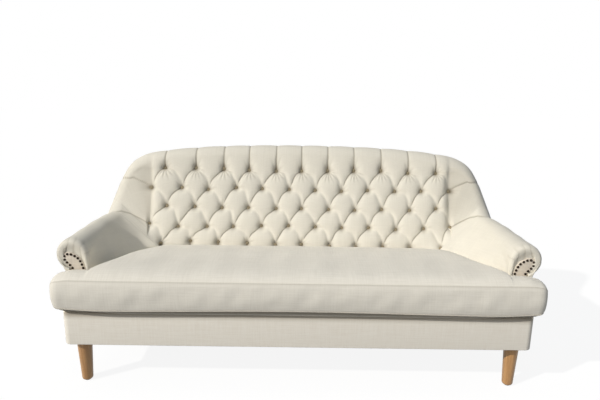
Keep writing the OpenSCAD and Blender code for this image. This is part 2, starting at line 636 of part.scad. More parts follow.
// The post from the side rail to the arm's bar
POST_T_AT = 3;
module arm_post(right) color(WOOD) right_left(right) {
    c = roll_at(POST_T_AT);
    low = [rail_hw - clear, rail_top];
    knee_z = c[2] - 0.85 * arm_r;
    bar = roll_bar / 2;
    upright(c[1] - BOARD_T / 2, BOARD_T) polygon([low, low - [36, 0], [c[0] - 22, knee_z],
        [c[0] - bar, c[2] - bar - clear], [c[0] - 1, c[2] - bar - clear], [c[0] - 1, knee_z]]);
}
module arm_post_left() arm_post(false);
module arm_post_right() arm_post(true);

// The arm's section in its front plane, moved in by in, with its outer foot at x and its
// lower edge at z
BOARD_Q = [for (j = [0:ROW_GRAIN:len(ARM_Q) - 1]) ARM_Q[j]];
function arm_outline(in, outer_x, z, qs) =
    concat(z < deck_z ? [[wall_at(0, in)[0], z]] : [],
        [for (q = qs) let (p = skin(0, q, in)) [p[0], p[2]]],
        [[outer_x, arm_roll_z - arm_r], [outer_x, z]]);
module arm_board(right) color("#c39a60") right_left(right) upright(arm_front_y, BOARD_T)
    polygon(arm_outline(pad_t + 5, roll_hw - 2, rail_top, BOARD_Q));
module arm_board_left() arm_board(false);
module arm_board_right() arm_board(true);
module arm_front_pad(right) color("#e6e1d4") right_left(right)
    upright(arm_front_y - front_pad_t, front_pad_t)
        polygon(arm_outline(2, base_hw - panel_in, deck_z, ARM_Q));
module arm_front_pad_left() arm_front_pad(false);
module arm_front_pad_right() arm_front_pad(true);

// The facing: a narrow arch that leans out under the roll, edged with nails
head_r = 0.27 * arm_r;
stem_in = 0.62 * arm_r;
stem_z = deck_z + 8;
neck_z = arm_roll_z - 0.83 * arm_r;
head = [roll_hw + 0.22 * arm_r, arm_roll_z - 0.17 * arm_r];
edge_in = nail_d / 2 + 2;
function arch(grow) = concat(
    [[roll_hw - stem_in - grow, stem_z], [roll_hw - stem_in - grow, neck_z]],
    [for (i = [0:12]) let (a = 172 - 212 * i / 12) head + (head_r + grow) * [cos(a), sin(a)]],
    [[roll_hw + grow, neck_z], [roll_hw + grow, stem_z]]);
facing_y = arm_front_y - front_pad_t - facing_t;
module arm_facing(right) color("#e8e0d2") right_left(right) upright(facing_y, facing_t)
    polygon([for (p = arch(edge_in)) [p[0], max(p[1], deck_z)]]);
module arm_facing_left() arm_facing(false);
module arm_facing_right() arm_facing(true);
function run(pts) = [for (i = 0, d = 0; i < len(pts); d = d + (i + 1 < len(pts) ?
    norm(pts[i + 1] - pts[i]) : 0), i = i + 1) d];
module facing_nails(right) color("#2a211b") right_left(right) {
    pts = arch(0);
    dist = run(pts);
    total = dist[len(dist) - 1];
    n = floor(total / nail_pitch);
    xs = [for (i = [0:len(pts) - 1]) [dist[i], pts[i][0]]];
    zs = [for (i = [0:len(pts) - 1]) [dist[i], pts[i][1]]];
    for (k = [0:n]) let (d = (total - n * nail_pitch) / 2 + k * nail_pitch)
        translate([lookup(d, xs), facing_y, lookup(d, zs)]) rotate([90, 0, 0])
            dome(nail_d / 2, nail_h);
}
module facing_nails_left() facing_nails(false);
module facing_nails_right() facing_nails(true);

// The outside panels, from the base band up to the tail of the roll
PANEL_FLIP = [-1, 1];
function panel_share(t) = spline(PANEL_FEET, PANEL_FLIP, t);
function panel_way(t) =
    let (d = panel_share(t + STEP_T) - panel_share(t - STEP_T))
    unit([d[1] * (base_rear - arm_front_y), -d[0] * base_hw, 0]);
function panel_foot(t) =
    let (s = panel_share(t))
    [s[0] * (base_hw - panel_in), mix(arm_front_y, base_rear - panel_in, s[1]), deck_z];
TAIL_GAP = 5;
PANEL_SHORT = 0.025;
function panel_top(t) = let (f = frame_of(t, panel_t)) on_roll(f, f[5] + TAIL_GAP);
function panel_ring(t) =
    let (a = panel_foot(t), b = mix(panel_top(t), a, PANEL_SHORT), way = panel_t * panel_way(t))
    [a, b, b - way, a - way];
T_PANEL = 5.5;
module outer_arm(right) color("#dfdacd") right_left(right)
    tube([for (i = [0:16]) panel_ring(i * (T_PANEL - SEAM) / 16)]);
module outer_arm_left() outer_arm(false);
module outer_arm_right() outer_arm(true);
module outer_back() color("#dcd7c9") {
    half = [for (i = [0:24]) mix(T_PANEL + SEAM, LAST, i / 24)];
    right = [for (t = half) panel_ring(t)];
    left = [for (i = [len(half) - 2:-1:0]) [for (p = right[i]) flipped(p, -1)]];
    tube(concat(right, left));
}

// The seat cushion: sections across its depth, one for each place along its width
cush_z = deck_z + seat_clear;
seam_hw = overall_w / 2 - belly;
seam_front = -overall_d / 2 + belly;
ear_rear = facing_y - nail_h - cushion_gap;
notch_x = wall_at(0, -cushion_gap)[0];
flat_hw = zip_len / 2 + 30;
ear_r = 30;
rear_drop = 22;
slot_hw = zip_len / 2 - 20;
slot_h = zip_w / 2;
T_SIDE = [for (i = [56:-1:0]) i * LAST / 56];
LOW_Y = [for (t = T_SIDE) let (w = wall_at(t, -cushion_gap)) [w[0], w[1]]];
HIGH_Y = [for (t = T_SIDE) let (w = lean_at(t, -cushion_gap)) [w[0], w[1]]];
function corner(x) =
    let (d = x - seam_hw + ear_r)
    d > 0 ? ear_r - sqrt(max(ear_r * ear_r - d * d, 0)) : 0;
function rear_y(x, z) =
    x >= notch_x ? ear_rear - corner(x) :
    mix(lookup(max(x, flat_hw), LOW_Y), lookup(max(x, flat_hw), HIGH_Y), (z - deck_z) / seat_line);
zip_z = deck_z + (low_seam + high_seam - rear_drop) / 2;
// The cushion's section at x, moved in by in
function section(x, in) =
    let (c = crown * (1 - pow(x / seam_hw, 8)) * (x >= notch_x ? 0.75 : 1))
    let (yf = seam_front + corner(x) + in, zb = cush_z + in, zl = deck_z + low_seam + in / 2)
    let (zt = deck_z + high_seam - in, zr = zt - (x >= notch_x ? 0 : rear_drop), h = zt - zl)
    let (yb = rear_y(x, zl) - 1.6 * in, yt = rear_y(x, zr) - 1.6 * in, ym = yt - yf)
    let (zu = zip_z + slot_h / 2, zd = zip_z - slot_h / 2)
    [[yf + 30, zb], [yf + 12, zb + 3], [yf, zl], [yf - 0.75 * belly, zl + h / 4],
        [yf - belly, zl + h / 2], [yf - 0.75 * belly, zl + 3 * h / 4], [yf, zt],
        [yf + min(10, 0.1 * ym), zt + 0.3 * c], [yf + min(32, 0.2 * ym), zt + 0.62 * c],
        [mix(yf, yt, 0.38), zt + 0.95 * c],
        [mix(yf, yt, 0.57), zt + c], [mix(yf, yt, 0.78), mix(zt, zr, 0.5) + 0.85 * c],
        [mix(yf, yt, 0.94), zr + 0.4 * c], [yt, zr], [mix(yb, yt, (zu - zl) / (zr - zl)), zu],
        [mix(yb, yt, (zd - zl) / (zr - zl)), zd], [yb, zl], [yb - 12, zb + 3], [yb - 25, zb]];
SLOT_ROW = 14;
LIFT = 0.9;
function lifted(ring) =
    let (z = ring[2][1])
    [for (p = ring) [p[0], p[1] < z ? mix(p[1], z, LIFT) : p[1]]];
function drawn_in(ring, f) =
    let (mid = [(ring[4][0] + ring[SLOT_ROW][0]) / 2, (ring[4][1] + ring[SLOT_ROW][1]) / 2])
    [for (p = ring) mix(p, mid, f)];
function standing(x, ring) = [for (p = ring) [x, p[0], p[1]]];
CUSHION_X = concat([0, slot_hw / 2, slot_hw, flat_hw],
    [for (f = [0.24, 0.42, 0.58, 0.74, 0.88, 0.99]) mix(flat_hw, notch_x, f)],
    [for (f = [0.02, 0.4, 0.7, 0.88]) mix(notch_x, seam_hw, f)]);
function half_rings(in) = concat(
    [for (x = CUSHION_X) standing(x * (seam_hw - in) / seam_hw, section(x, in))],
    [for (end = [[0, 0], [0.7, 0.1], [1, 0.3]])
        standing(seam_hw - in + end[0] * belly, drawn_in(lifted(section(seam_hw - in, in)), end[1]))]);
function cushion_rings(in) =
    let (right = half_rings(in))
    concat([for (i = [len(right) - 1:-1:1]) [for (p = right[i]) flipped(p, -1)]], right);

// The cover is hollow, and its cavity opens through the slot behind the zipper
module cushion_cover() {
    outer = cushion_rings(0);
    inner = cushion_rings(cover_t);
    n = len(outer) - 1;
    m = len(outer[0]);
    count = (n + 1) * m;
    first = n / 2 - 2;
    last = n / 2 + 2;
    function p(i, j) = i * m + j % m;
    function open(i, j) = j == SLOT_ROW && i >= first && i < last;
    walls = [for (i = [0:n - 1]) for (j = [0:m - 1]) if (!open(i, j)) each
        [[p(i, j), p(i, j + 1), p(i + 1, j + 1)], [p(i, j), p(i + 1, j + 1), p(i + 1, j)]]];
    caps = [for (j = [1:m - 2]) each
        [[p(0, 0), p(0, j + 1), p(0, j)], [p(n, 0), p(n, j), p(n, j + 1)]]];
    skin = concat(walls, caps);
    lining = [for (f = skin) [for (i = [2:-1:0]) f[i] + count]];
    function rim(a, b) = [[a, b, b + count], [a, b + count, a + count]];
    top = [for (i = [first:last - 1]) each rim(p(i + 1, SLOT_ROW), p(i, SLOT_ROW))];
    low = [for (i = [first:last - 1]) each rim(p(i, SLOT_ROW + 1), p(i + 1, SLOT_ROW + 1))];
    ends = concat(rim(p(first, SLOT_ROW), p(first, SLOT_ROW + 1)),
        rim(p(last, SLOT_ROW + 1), p(last, SLOT_ROW)));
    color("#ded9cb") polyhedron([for (r = concat(outer, inner)) each r],
        concat(skin, lining, top, low, ends), convexity = 10);
}
module cushion_core() color("#f1e7b4") tube(cushion_rings(cover_t + 2 * seat_clear));

// The welt at the lower seam, round the front and the ends
WELT_SIDES = 6;
WELT_IN = 1.9;
module cushion_welt() color("#e9e4d6") {
    out = welt_d / 2 + seat_clear - WELT_IN;
    z = deck_z + low_seam * LIFT - welt_d / 2 - seat_clear;
    arc = [for (i = [0:CORNER_STEPS]) let (a = -90 + 90 * i / CORNER_STEPS)
        [seam_hw - ear_r + (ear_r + out) * cos(a), seam_front + ear_r + (ear_r + out) * sin(a)]];
    right = concat(arc, [[seam_hw + out, ear_rear - ear_r]]);
    path = concat([for (i = [len(right) - 1:-1:0]) [-right[i][0], right[i][1]]], right);
    n = len(path) - 1;
    tube([for (i = [0:n])
        let (d = unit(path[min(i + 1, n)] - path[max(i - 1, 0)]), side = [d[1], -d[0], 0])
        [for (k = [0:WELT_SIDES - 1]) let (a = 360 * k / WELT_SIDES)
            [path[i][0], path[i][1], z] + welt_d / 2 * (cos(a) * side + [0, 0, sin(a)])]]);
}

// The zipper across the rear of the cushion, on the plane of its rear face
teeth_w = 5;
slider_l = 15;
slider_w = 11;
slider_wall = 0.8;
pull_t = 0.8;
pull_l = 26;
module on_rear() translate([0, rear_y(0, zip_z) + 0.05, zip_z])
    rotate([-atan2(lookup(flat_hw, HIGH_Y) - lookup(flat_hw, LOW_Y), seat_line), 0, 0]) children();
module zipper_tape() color("#cfc9ba") on_rear()
    translate([-zip_len / 2, 0, -zip_w / 2]) cube([zip_len, zip_t / 2, zip_w]);
module zipper_teeth() color("#b9ae90") on_rear()
    translate([-zip_len / 2 + 4, zip_t / 2, -teeth_w / 2]) cube([zip_len - 8, zip_t, teeth_w]);
slider_x = zip_len / 2 - slider_l - 5;
module zipper_slider() color("#8f8a80") on_rear() translate([slider_x, zip_t / 2 + seat_clear, 0])
    difference() {
        translate([0, 0, -slider_w / 2]) cube([slider_l, zip_t + slider_wall, slider_w]);
        translate([-1, -1, -teeth_w / 2 - seat_clear])
            cube([slider_l + 2, zip_t + 1, teeth_w + 2 * seat_clear]);
    }
module zipper_pull() color("#a8a295") on_rear()
    translate([slider_x + slider_l / 2 - 4, 1.5 * zip_t + seat_clear + slider_wall, -pull_l + 3])
        difference() {
            cube([8, pull_t, pull_l]);
            translate([4, -1, 5]) rotate([-90, 0, 0]) cylinder(d = 4, h = 3, $fn = 24);
        }

front_rail();
rear_rail();
left_side_rail();
right_side_rail();
cross_rails();
corner_blocks();
leg_front_left();
leg_front_right();
leg_rear_left();
leg_rear_right();
leg_plates();
leg_plate_screws();
leg_bolts();
leg_glides();
seat_springs();
spring_clips();
deck_burlap();
deck_pad();
deck_cover();
base_band();
dust_cover();
back_ribs();
back_top_rail();
back_tack_rail();
shoulder_rail_left();
shoulder_rail_right();
arm_board_left();
arm_board_right();
arm_post_left();
arm_post_right();
arm_rail_left();
arm_rail_right();
tufted_back();
back_buttons();
arm_pad_left();
arm_pad_right();
arm_front_pad_left();
arm_front_pad_right();
arm_facing_left();
arm_facing_right();
facing_nails_left();
facing_nails_right();
outer_arm_left();
outer_arm_right();
outer_back();
cushion_cover();
cushion_core();
cushion_welt();
zipper_tape();
zipper_teeth();
zipper_slider();
zipper_pull();
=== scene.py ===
# %% [markdown]
# # Dressing a tufted sofa
# The frame gives every solid of the sofa in metres, with the floor at z = 0 and the front towards
# -Y. This lesson adds what the eye sees: linen, folds, buttons, nails, wood, light and a camera.
# Each step first says what the piece is on the real sofa, how it could be made, and why this way.

# %% Load the frame
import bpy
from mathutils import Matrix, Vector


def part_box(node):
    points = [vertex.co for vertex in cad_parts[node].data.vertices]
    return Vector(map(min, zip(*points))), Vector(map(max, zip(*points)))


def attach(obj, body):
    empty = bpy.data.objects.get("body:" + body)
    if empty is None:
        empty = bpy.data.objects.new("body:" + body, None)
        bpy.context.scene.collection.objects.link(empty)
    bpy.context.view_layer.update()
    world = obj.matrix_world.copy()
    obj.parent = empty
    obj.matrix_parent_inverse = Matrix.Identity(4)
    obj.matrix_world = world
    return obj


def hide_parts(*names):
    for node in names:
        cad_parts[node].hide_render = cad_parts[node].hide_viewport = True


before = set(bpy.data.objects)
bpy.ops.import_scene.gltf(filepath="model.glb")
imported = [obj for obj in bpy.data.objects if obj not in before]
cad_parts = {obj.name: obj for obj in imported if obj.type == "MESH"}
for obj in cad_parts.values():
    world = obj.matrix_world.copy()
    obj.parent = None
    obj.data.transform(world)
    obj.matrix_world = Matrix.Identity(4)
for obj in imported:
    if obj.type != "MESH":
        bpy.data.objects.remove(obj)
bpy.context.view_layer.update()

# %% Modules
import math
import random

import bmesh
import bpy
import numpy as np
from mathutils import Matrix, Vector
from mathutils.bvhtree import BVHTree

# %% [markdown]
# ## Camera
# The sofa was seen straight from the front, from 1.3 m above the floor. Lens and place come from a
# fit to points measured in the picture, and the small roll keeps the sofa's right end a touch
# lower, as it is there.

# %% Camera
IMAGE_WIDTH = 600
FOCAL_PIXELS = 544.3
SENSOR_WIDTH = 36.0
CAMERA_PLACE = (-0.003, -2.361, 1.307)
CAMERA_TILT = 0.2458
CAMERA_ROLL = 0.0140
CAMERA_YAW = -0.0013

camera_data = bpy.data.cameras.new("camera")
camera_data.sensor_width = SENSOR_WIDTH
camera_data.lens = SENSOR_WIDTH * FOCAL_PIXELS / IMAGE_WIDTH
camera = bpy.data.objects.new("camera", camera_data)
bpy.context.scene.collection.objects.link(camera)
yaw = Matrix.Rotation(CAMERA_YAW, 4, "Z")
tilt = Matrix.Rotation(math.pi / 2 - CAMERA_TILT, 4, "X")
roll = Matrix.Rotation(CAMERA_ROLL, 4, "Z")
camera.matrix_world = Matrix.Translation(CAMERA_PLACE) @ yaw @ tilt @ roll
bpy.context.scene.camera = camera
print("lens", round(camera_data.lens, 2), "mm")

# %% [markdown]
# ## Nodes that come again
# Materials, sky and floor are made of shader nodes. A few kinds come again and again, so they have
# helpers, which take sockets or plain values.

# %% Node helpers
WHITE = (1, 1, 1, 1)


def math_node(group, operation, first, second):
    """A Math node, whose inputs are sockets or numbers."""
    node = group.nodes.new("ShaderNodeMath")
    node.operation = operation
    for socket, value in zip(node.inputs, (first, second)):
        if isinstance(value, (int, float)):
            socket.default_value = value
        else:
            group.links.new(value, socket)
    return node.outputs[0]


def colour_mix(tree, factor, first, second, kind="MIX"):
    """A Mix node for colours, whose colours are sockets or four numbers."""
    node = tree.nodes.new("ShaderNodeMix")
    node.data_type = "RGBA"
    node.blend_type = kind
    tree.links.new(factor, node.inputs[0])
    for label, value in (("A", first), ("B", second)):
        if isinstance(value, tuple):
            node.inputs[label].default_value = value
        else:
            tree.links.new(value, node.inputs[label])
    return node.outputs["Result"]


def show_mix(tree, factor, first, second, output):
    """Shows a mix of two shaders at the output of a tree."""
    node = tree.nodes.new("ShaderNodeMixShader")
    tree.links.new(factor, node.inputs[0])
    tree.links.new(first.outputs[0], node.inputs[1])
    tree.links.new(second.outputs[0], node.inputs[2])
    tree.links.new(node.outputs[0], tree.nodes[output].inputs["Surface"])


def seen_or_mirrored(tree):
    """1 for rays from the camera, from gloss and through glass, and 0 for light."""
    path = tree.nodes.new("ShaderNodeLightPath")
    first = math_node(tree, "MAXIMUM", path.outputs["Is Camera Ray"], path.outputs["Is Glossy Ray"])
    return math_node(tree, "MAXIMUM", first, path.outputs["Is Transmission Ray"])


print("node helpers ready")

# %% [markdown]
# ## Light
# A sun from the left models the folds, a weak and very soft lamp fills the front, and an even,
# slightly cool sky fills the shade. All are at a plain level, so a colour renders about as it is
# written. The floor and the sky look white to the camera and to gloss, but the floor keeps the
# sofa's shadow.

# %% Sun and sky
LAMPS = {
    "sun": {"energy": 2.65, "angle": 1.5, "towards": (-0.71, -0.44, 0.56), "color": (1.0, 0.965, 0.90)},
    "fill": {"energy": 0.36, "angle": 30.0, "towards": (-0.30, -0.85, 0.40), "color": (1.0, 0.97, 0.94)},
}
SKY_STRENGTH = 0.26
SKY_COLOUR = (0.80, 0.89, 1.0, 1)

for name, lamp in LAMPS.items():
    data = bpy.data.lights.new(name, "SUN")
    data.energy = lamp["energy"]
    data.angle = math.radians(lamp["angle"])
    data.color = lamp["color"]
    light = bpy.data.objects.new(name, data)
    light.rotation_euler = Vector(lamp["towards"]).to_track_quat("Z", "Y").to_euler()
    bpy.context.scene.collection.objects.link(light)
bpy.context.scene.view_settings.view_transform = "Standard"

world = bpy.data.worlds.new("sky")
world.use_nodes = True
bpy.context.scene.world = world
sky = world.node_tree
light_sky = sky.nodes["Background"]
light_sky.inputs["Color"].default_value = SKY_COLOUR
light_sky.inputs["Strength"].default_value = SKY_STRENGTH
white_sky = sky.nodes.new("ShaderNodeBackground")
white_sky.inputs["Color"].default_value = WHITE
show_mix(sky, seen_or_mirrored(sky), light_sky, white_sky, "World Output")
print("lamps", list(LAMPS), "sky", SKY_STRENGTH)

# %% Floor
FLOOR_SIZE = 24.0
FLOOR_WHITE = 0.85
FLOOR_GLOW = 1.05
FLOOR_BOUNCE = 0.30
FLOOR_SEEN = 1.0

bpy.ops.object.select_all(action="DESELECT")
bpy.ops.mesh.primitive_plane_add(size=FLOOR_SIZE, location=(0, 0, 0))
floor = bpy.context.object
floor.name = "floor"
floor_paint = bpy.data.materials.new("pale_floor")
floor_paint.use_nodes = True
tree = floor_paint.node_tree
ground = tree.nodes.new("ShaderNodeBsdfDiffuse")
seen = seen_or_mirrored(tree)
grey = tree.nodes.new("ShaderNodeMapRange")
grey.inputs["To Min"].default_value = FLOOR_BOUNCE
grey.inputs["To Max"].default_value = FLOOR_SEEN
tree.links.new(seen, grey.inputs["Value"])
tree.links.new(grey.outputs[0], ground.inputs["Color"])
white = tree.nodes.new("ShaderNodeEmission")
white.inputs["Color"].default_value = WHITE
white.inputs["Strength"].default_value = FLOOR_GLOW
show_mix(tree, math_node(tree, "MULTIPLY", seen, FLOOR_WHITE), ground, white, "Material Output")
tree.nodes.remove(tree.nodes["Principled BSDF"])
floor.data.materials.append(floor_paint)
print("floor", FLOOR_SIZE, "m")

# %% [markdown]
# ## Linen
# The cover is a plain-woven linen with slubs: threads of uneven thickness run across and along it,
# and show as short darker and lighter streaks. A wave texture would look too regular, so stretched
# noise stands for the threads. It is one node group, and each cloth gives it its own two colours.

# %% The weave group
THREADS = 560
SLUB = 24
STREAKS = 170
STREAK_RUN = 9
STREAK_SHARE = 1.6


def node_group(name, inputs, outputs):
    """A shader node group with its input and output nodes, from the labels and kinds of sockets."""
    group = bpy.data.node_groups.new(name, "ShaderNodeTree")
    for way, sockets in (("INPUT", inputs), ("OUTPUT", outputs)):
        for label, kind in sockets.items():
            group.interface.new_socket(label, in_out=way, socket_type="NodeSocket" + kind)
    return group, group.nodes.new("NodeGroupInput"), group.nodes.new("NodeGroupOutput")


def stretched_noise(group, vector, scale, detail):
    """Noise on coordinates that are scaled unevenly."""
    stretch = group.nodes.new("ShaderNodeVectorMath")
    stretch.operation = "MULTIPLY"
    stretch.inputs[1].default_value = scale
    group.links.new(vector, stretch.inputs[0])
    noise = group.nodes.new("ShaderNodeTexNoise")
    noise.inputs["Scale"].default_value = 1
    noise.inputs["Detail"].default_value = detail
    group.links.new(stretch.outputs[0], noise.inputs["Vector"])
    return noise.outputs["Fac"]


weave, enter, leave = node_group(
    "linen_weave", {"Vector": "Vector", "Dark": "Color", "Light": "Color", "Contrast": "Float"},
    {"Color": "Color", "Height": "Float"})
coordinates = enter.outputs["Vector"]
warp = stretched_noise(weave, coordinates, (THREADS, SLUB, SLUB), 2)
weft = stretched_noise(weave, coordinates, (SLUB, THREADS, THREADS), 2)
warp_streak = stretched_noise(weave, coordinates, (STREAKS, STREAK_RUN, STREAK_RUN), 3)
weft_streak = stretched_noise(weave, coordinates, (STREAK_RUN, STREAKS, STREAKS), 3)
fine = math_node(weave, "ADD", warp, weft)
coarse = math_node(weave, "ADD", warp_streak, weft_streak)
total = math_node(weave, "ADD", fine, math_node(weave, "MULTIPLY", coarse, STREAK_SHARE))
centred = math_node(weave, "SUBTRACT", total, 1 + STREAK_SHARE)
spread = math_node(weave, "MULTIPLY", centred, enter.outputs["Contrast"])
factor = math_node(weave, "ADD", spread, 0.5)
thread_colour = colour_mix(weave, factor, enter.outputs["Dark"], enter.outputs["Light"])
weave.links.new(thread_colour, leave.inputs["Color"])
weave.links.new(math_node(weave, "MULTIPLY", total, 0.5), leave.inputs["Height"])
print("weave group", len(weave.nodes), "nodes")

# %% [markdown]
# ## Cloth materials
# Every cloth reads the weave in metres, from a UV map that follows the piece where there is one, and
# from Object coordinates on the solids of the frame. In deep folds, pits and under the cushion less
# light gets out, so the padded covers, the cushion and the base band carry a value of painted shade,
# which darkens the cloth there.

# %% Cloth
WEAVE_MAP = "Weave"
PAINTED_SHADE_VALUE = "PaintedShade"
# Painted shade: the colour that the cloth is darkened towards.
PAINTED_SHADE_COLOUR = (0.32, 0.28, 0.22, 1)
LINEN_SURFACE = {"Roughness": 0.88, "Specular IOR Level": 0.25, "Sheen Weight": 0.12,
                 "Sheen Roughness": 0.55}
THREAD_HEIGHT = 0.0006


def linear(red, green, blue):
    """A colour as it is read off a screen, from 0 to 255, in the renderer's own values."""
    return tuple(((c / 255 + 0.055) / 1.055) ** 2.4 for c in (red, green, blue))


def add_relief(tree, shader, height, strength, distance):
    """Turns a height into a bump on a material."""
    relief = tree.nodes.new("ShaderNodeBump")
    relief.inputs["Strength"].default_value = strength
    relief.inputs["Distance"].default_value = distance
    tree.links.new(height, relief.inputs["Height"])
    tree.links.new(relief.outputs["Normal"], shader.inputs["Normal"])


def cloth(name, dark, light, contrast, bump, mapped=True, folded=False):
    """A linen material with the weave in its colour and bump."""
    material = bpy.data.materials.new(name)
    material.use_nodes = True
    nodes = material.node_tree.nodes
    links = material.node_tree.links
    shader = nodes["Principled BSDF"]
    for label, value in LINEN_SURFACE.items():
        shader.inputs[label].default_value = value
    threads = nodes.new("ShaderNodeGroup")
    threads.node_tree = weave
    threads.inputs["Dark"].default_value = (*linear(*dark), 1)
    threads.inputs["Light"].default_value = (*linear(*light), 1)
    threads.inputs["Contrast"].default_value = contrast
    if mapped:
        source = nodes.new("ShaderNodeUVMap")
        source.uv_map = WEAVE_MAP
        links.new(source.outputs["UV"], threads.inputs["Vector"])
    else:
        source = nodes.new("ShaderNodeTexCoord")
        links.new(source.outputs["Object"], threads.inputs["Vector"])
    colour = threads.outputs["Color"]
    # Painted shade: the value on each point darkens the weave's colour in creases, pits, hollows and
    # under the cushion.
    if folded:
        fold = nodes.new("ShaderNodeAttribute")
        fold.attribute_name = PAINTED_SHADE_VALUE
        colour = colour_mix(material.node_tree, fold.outputs["Fac"], colour, PAINTED_SHADE_COLOUR, "MULTIPLY")
    links.new(colour, shader.inputs["Base Color"])
    add_relief(material.node_tree, shader, threads.outputs["Height"], bump, THREAD_HEIGHT)
    return material


cream_linen = cloth("cream_linen", (223, 217, 203), (238, 233, 220), 0.35, 0.15, folded=True)
# Painted light: the cushion's linen is a little lighter than cream_linen, standing in for light.
cushion_linen = cloth("cushion_linen", (226, 220, 207), (249, 244, 233), 0.42, 0.25, folded=True)
# Painted light: the base band's linen is lighter than cream_linen, standing in for light on its front.
base_linen = cloth("base_linen", (241, 233, 219), (255, 250, 239), 0.5, 0.3, folded=True)
# Painted shade: the welt's linen is darker than the cushion's, for the shade it lies in.
welt_shaded_linen = cloth("welt_shaded_linen", (186, 180, 168), (212, 206, 194), 0.5, 0.3)
facing_linen = cloth("facing_linen", (214, 202, 186), (234, 224, 209), 0.9, 0.3)
# Painted shade: the buttons' linen is darker than cream_linen, for the shade of their pits.
button_shaded_linen = cloth("button_shaded_linen", (128, 116, 92), (166, 155, 130), 0.4, 0.4)
hidden_linen = cloth("hidden_linen", (205, 198, 182), (230, 224, 209), 1.0, 0.3, mapped=False)
burlap = cloth("burlap", (120, 95, 58), (190, 162, 112), 1.6, 0.9, mapped=False)
batting = cloth("batting", (226, 222, 212), (244, 241, 234), 0.6, 0.8, mapped=False)
dust_cloth = cloth("dust_cloth", (28, 28, 30), (56, 56, 58), 0.8, 0.6, mapped=False)
zip_cloth = cloth("zip_cloth", (190, 184, 168), (214, 208, 194), 0.8, 0.8, mapped=False)
print("cloth materials", len(bpy.data.materials))

# %% [markdown]
# ## Wood, metal and plastic
# The legs are pale oak under a thin satin varnish: long grain runs up each leg, with fine darker
# pores. The frame inside is plain sawn pine. Nails are blackened bronze, and the hardware is zinc
# plated steel. Wear is a shared group: a soft mottling that also makes the roughness uneven.

# %% Grain and wear groups
RINGS, PORES, MOTTLE = (1, 1, 1), (14, 14, 5), (1, 1, 1)
RING_EDGES = (0.35, 0.68)
RING_SHARE = 0.6
PORE_SHARE = 0.5
ROUGH_SPREAD = 0.25

grain, enter, leave = node_group(
    "wood_grain", {"Vector": "Vector", "Dark": "Color", "Light": "Color", "Lengthwise": "Vector"},
    {"Color": "Color", "Height": "Float"})
lengthwise = grain.nodes.new("ShaderNodeVectorMath")
lengthwise.operation = "MULTIPLY"
grain.links.new(enter.outputs["Vector"], lengthwise.inputs[0])
grain.links.new(enter.outputs["Lengthwise"], lengthwise.inputs[1])
rings = stretched_noise(grain, lengthwise.outputs[0], RINGS, 3)
pores = stretched_noise(grain, lengthwise.outputs[0], PORES, 2)
ramp = grain.nodes.new("ShaderNodeValToRGB")
for element, position in zip(ramp.color_ramp.elements, RING_EDGES):
    element.position = position
grain.links.new(rings, ramp.inputs[0])
mixed = math_node(grain, "ADD", math_node(grain, "MULTIPLY", ramp.outputs[0], RING_SHARE),
                  math_node(grain, "MULTIPLY", pores, PORE_SHARE))
tint = colour_mix(grain, mixed, enter.outputs["Dark"], enter.outputs["Light"])
grain.links.new(tint, leave.inputs["Color"])
grain.links.new(pores, leave.inputs["Height"])

wear, enter, leave = node_group(
    "wear",
    {"Vector": "Vector", "Color": "Color", "Worn": "Color", "Roughness": "Float", "Scale": "Float"},
    {"Color": "Color", "Roughness": "Float"})
scaled = wear.nodes.new("ShaderNodeVectorMath")
scaled.operation = "SCALE"
wear.links.new(enter.outputs["Vector"], scaled.inputs[0])
wear.links.new(enter.outputs["Scale"], scaled.inputs["Scale"])
mottle = stretched_noise(wear, scaled.outputs[0], MOTTLE, 4)
rubbed = colour_mix(wear, mottle, enter.outputs["Color"], enter.outputs["Worn"])
wear.links.new(rubbed, leave.inputs["Color"])
rougher = math_node(wear, "MULTIPLY", mottle, ROUGH_SPREAD)
uneven = math_node(wear, "ADD", enter.outputs["Roughness"], rougher)
wear.links.new(uneven, leave.inputs["Roughness"])
print("grain and wear groups")

# %% Hard materials
PORE_DEPTH = 0.0008


def hard(name, group, settings, roughness, metal=0.0, bump=0.0, coat=0.0):
    """A material from the grain or the wear group, on Object coordinates."""
    material = bpy.data.materials.new(name)
    material.use_nodes = True
    nodes = material.node_tree.nodes
    links = material.node_tree.links
    shader = nodes["Principled BSDF"]
    surface = {"Roughness": roughness, "Metallic": metal, "Coat Weight": coat, "Coat Roughness": 0.3}
    for label, value in surface.items():
        shader.inputs[label].default_value = value
    place = nodes.new("ShaderNodeTexCoord")
    finish = nodes.new("ShaderNodeGroup")
    finish.node_tree = group
    links.new(place.outputs["Object"], finish.inputs["Vector"])
    for label, value in settings.items():
        finish.inputs[label].default_value = value
    links.new(finish.outputs["Color"], shader.inputs["Base Color"])
    if "Roughness" in finish.outputs:
        links.new(finish.outputs["Roughness"], shader.inputs["Roughness"])
    if bump:
        add_relief(material.node_tree, shader, finish.outputs["Height"], bump, PORE_DEPTH)
    return material


def wood(name, dark, light, lengthwise, roughness, coat=0.0):
    """Wood whose grain runs along the axis with the small number in lengthwise."""
    colours = {"Dark": (*linear(*dark), 1), "Light": (*linear(*light), 1)}
    return hard(name, grain, {**colours, "Lengthwise": lengthwise}, roughness, bump=0.2, coat=coat)


def worn(name, colour, lighter, roughness, metal, scale=90.0):
    """Metal, plastic or foam with the wear group's mottling."""
    colours = {"Color": (*linear(*colour), 1), "Worn": (*linear(*lighter), 1)}
    return hard(name, wear, {**colours, "Roughness": roughness, "Scale": scale}, roughness, metal=metal)


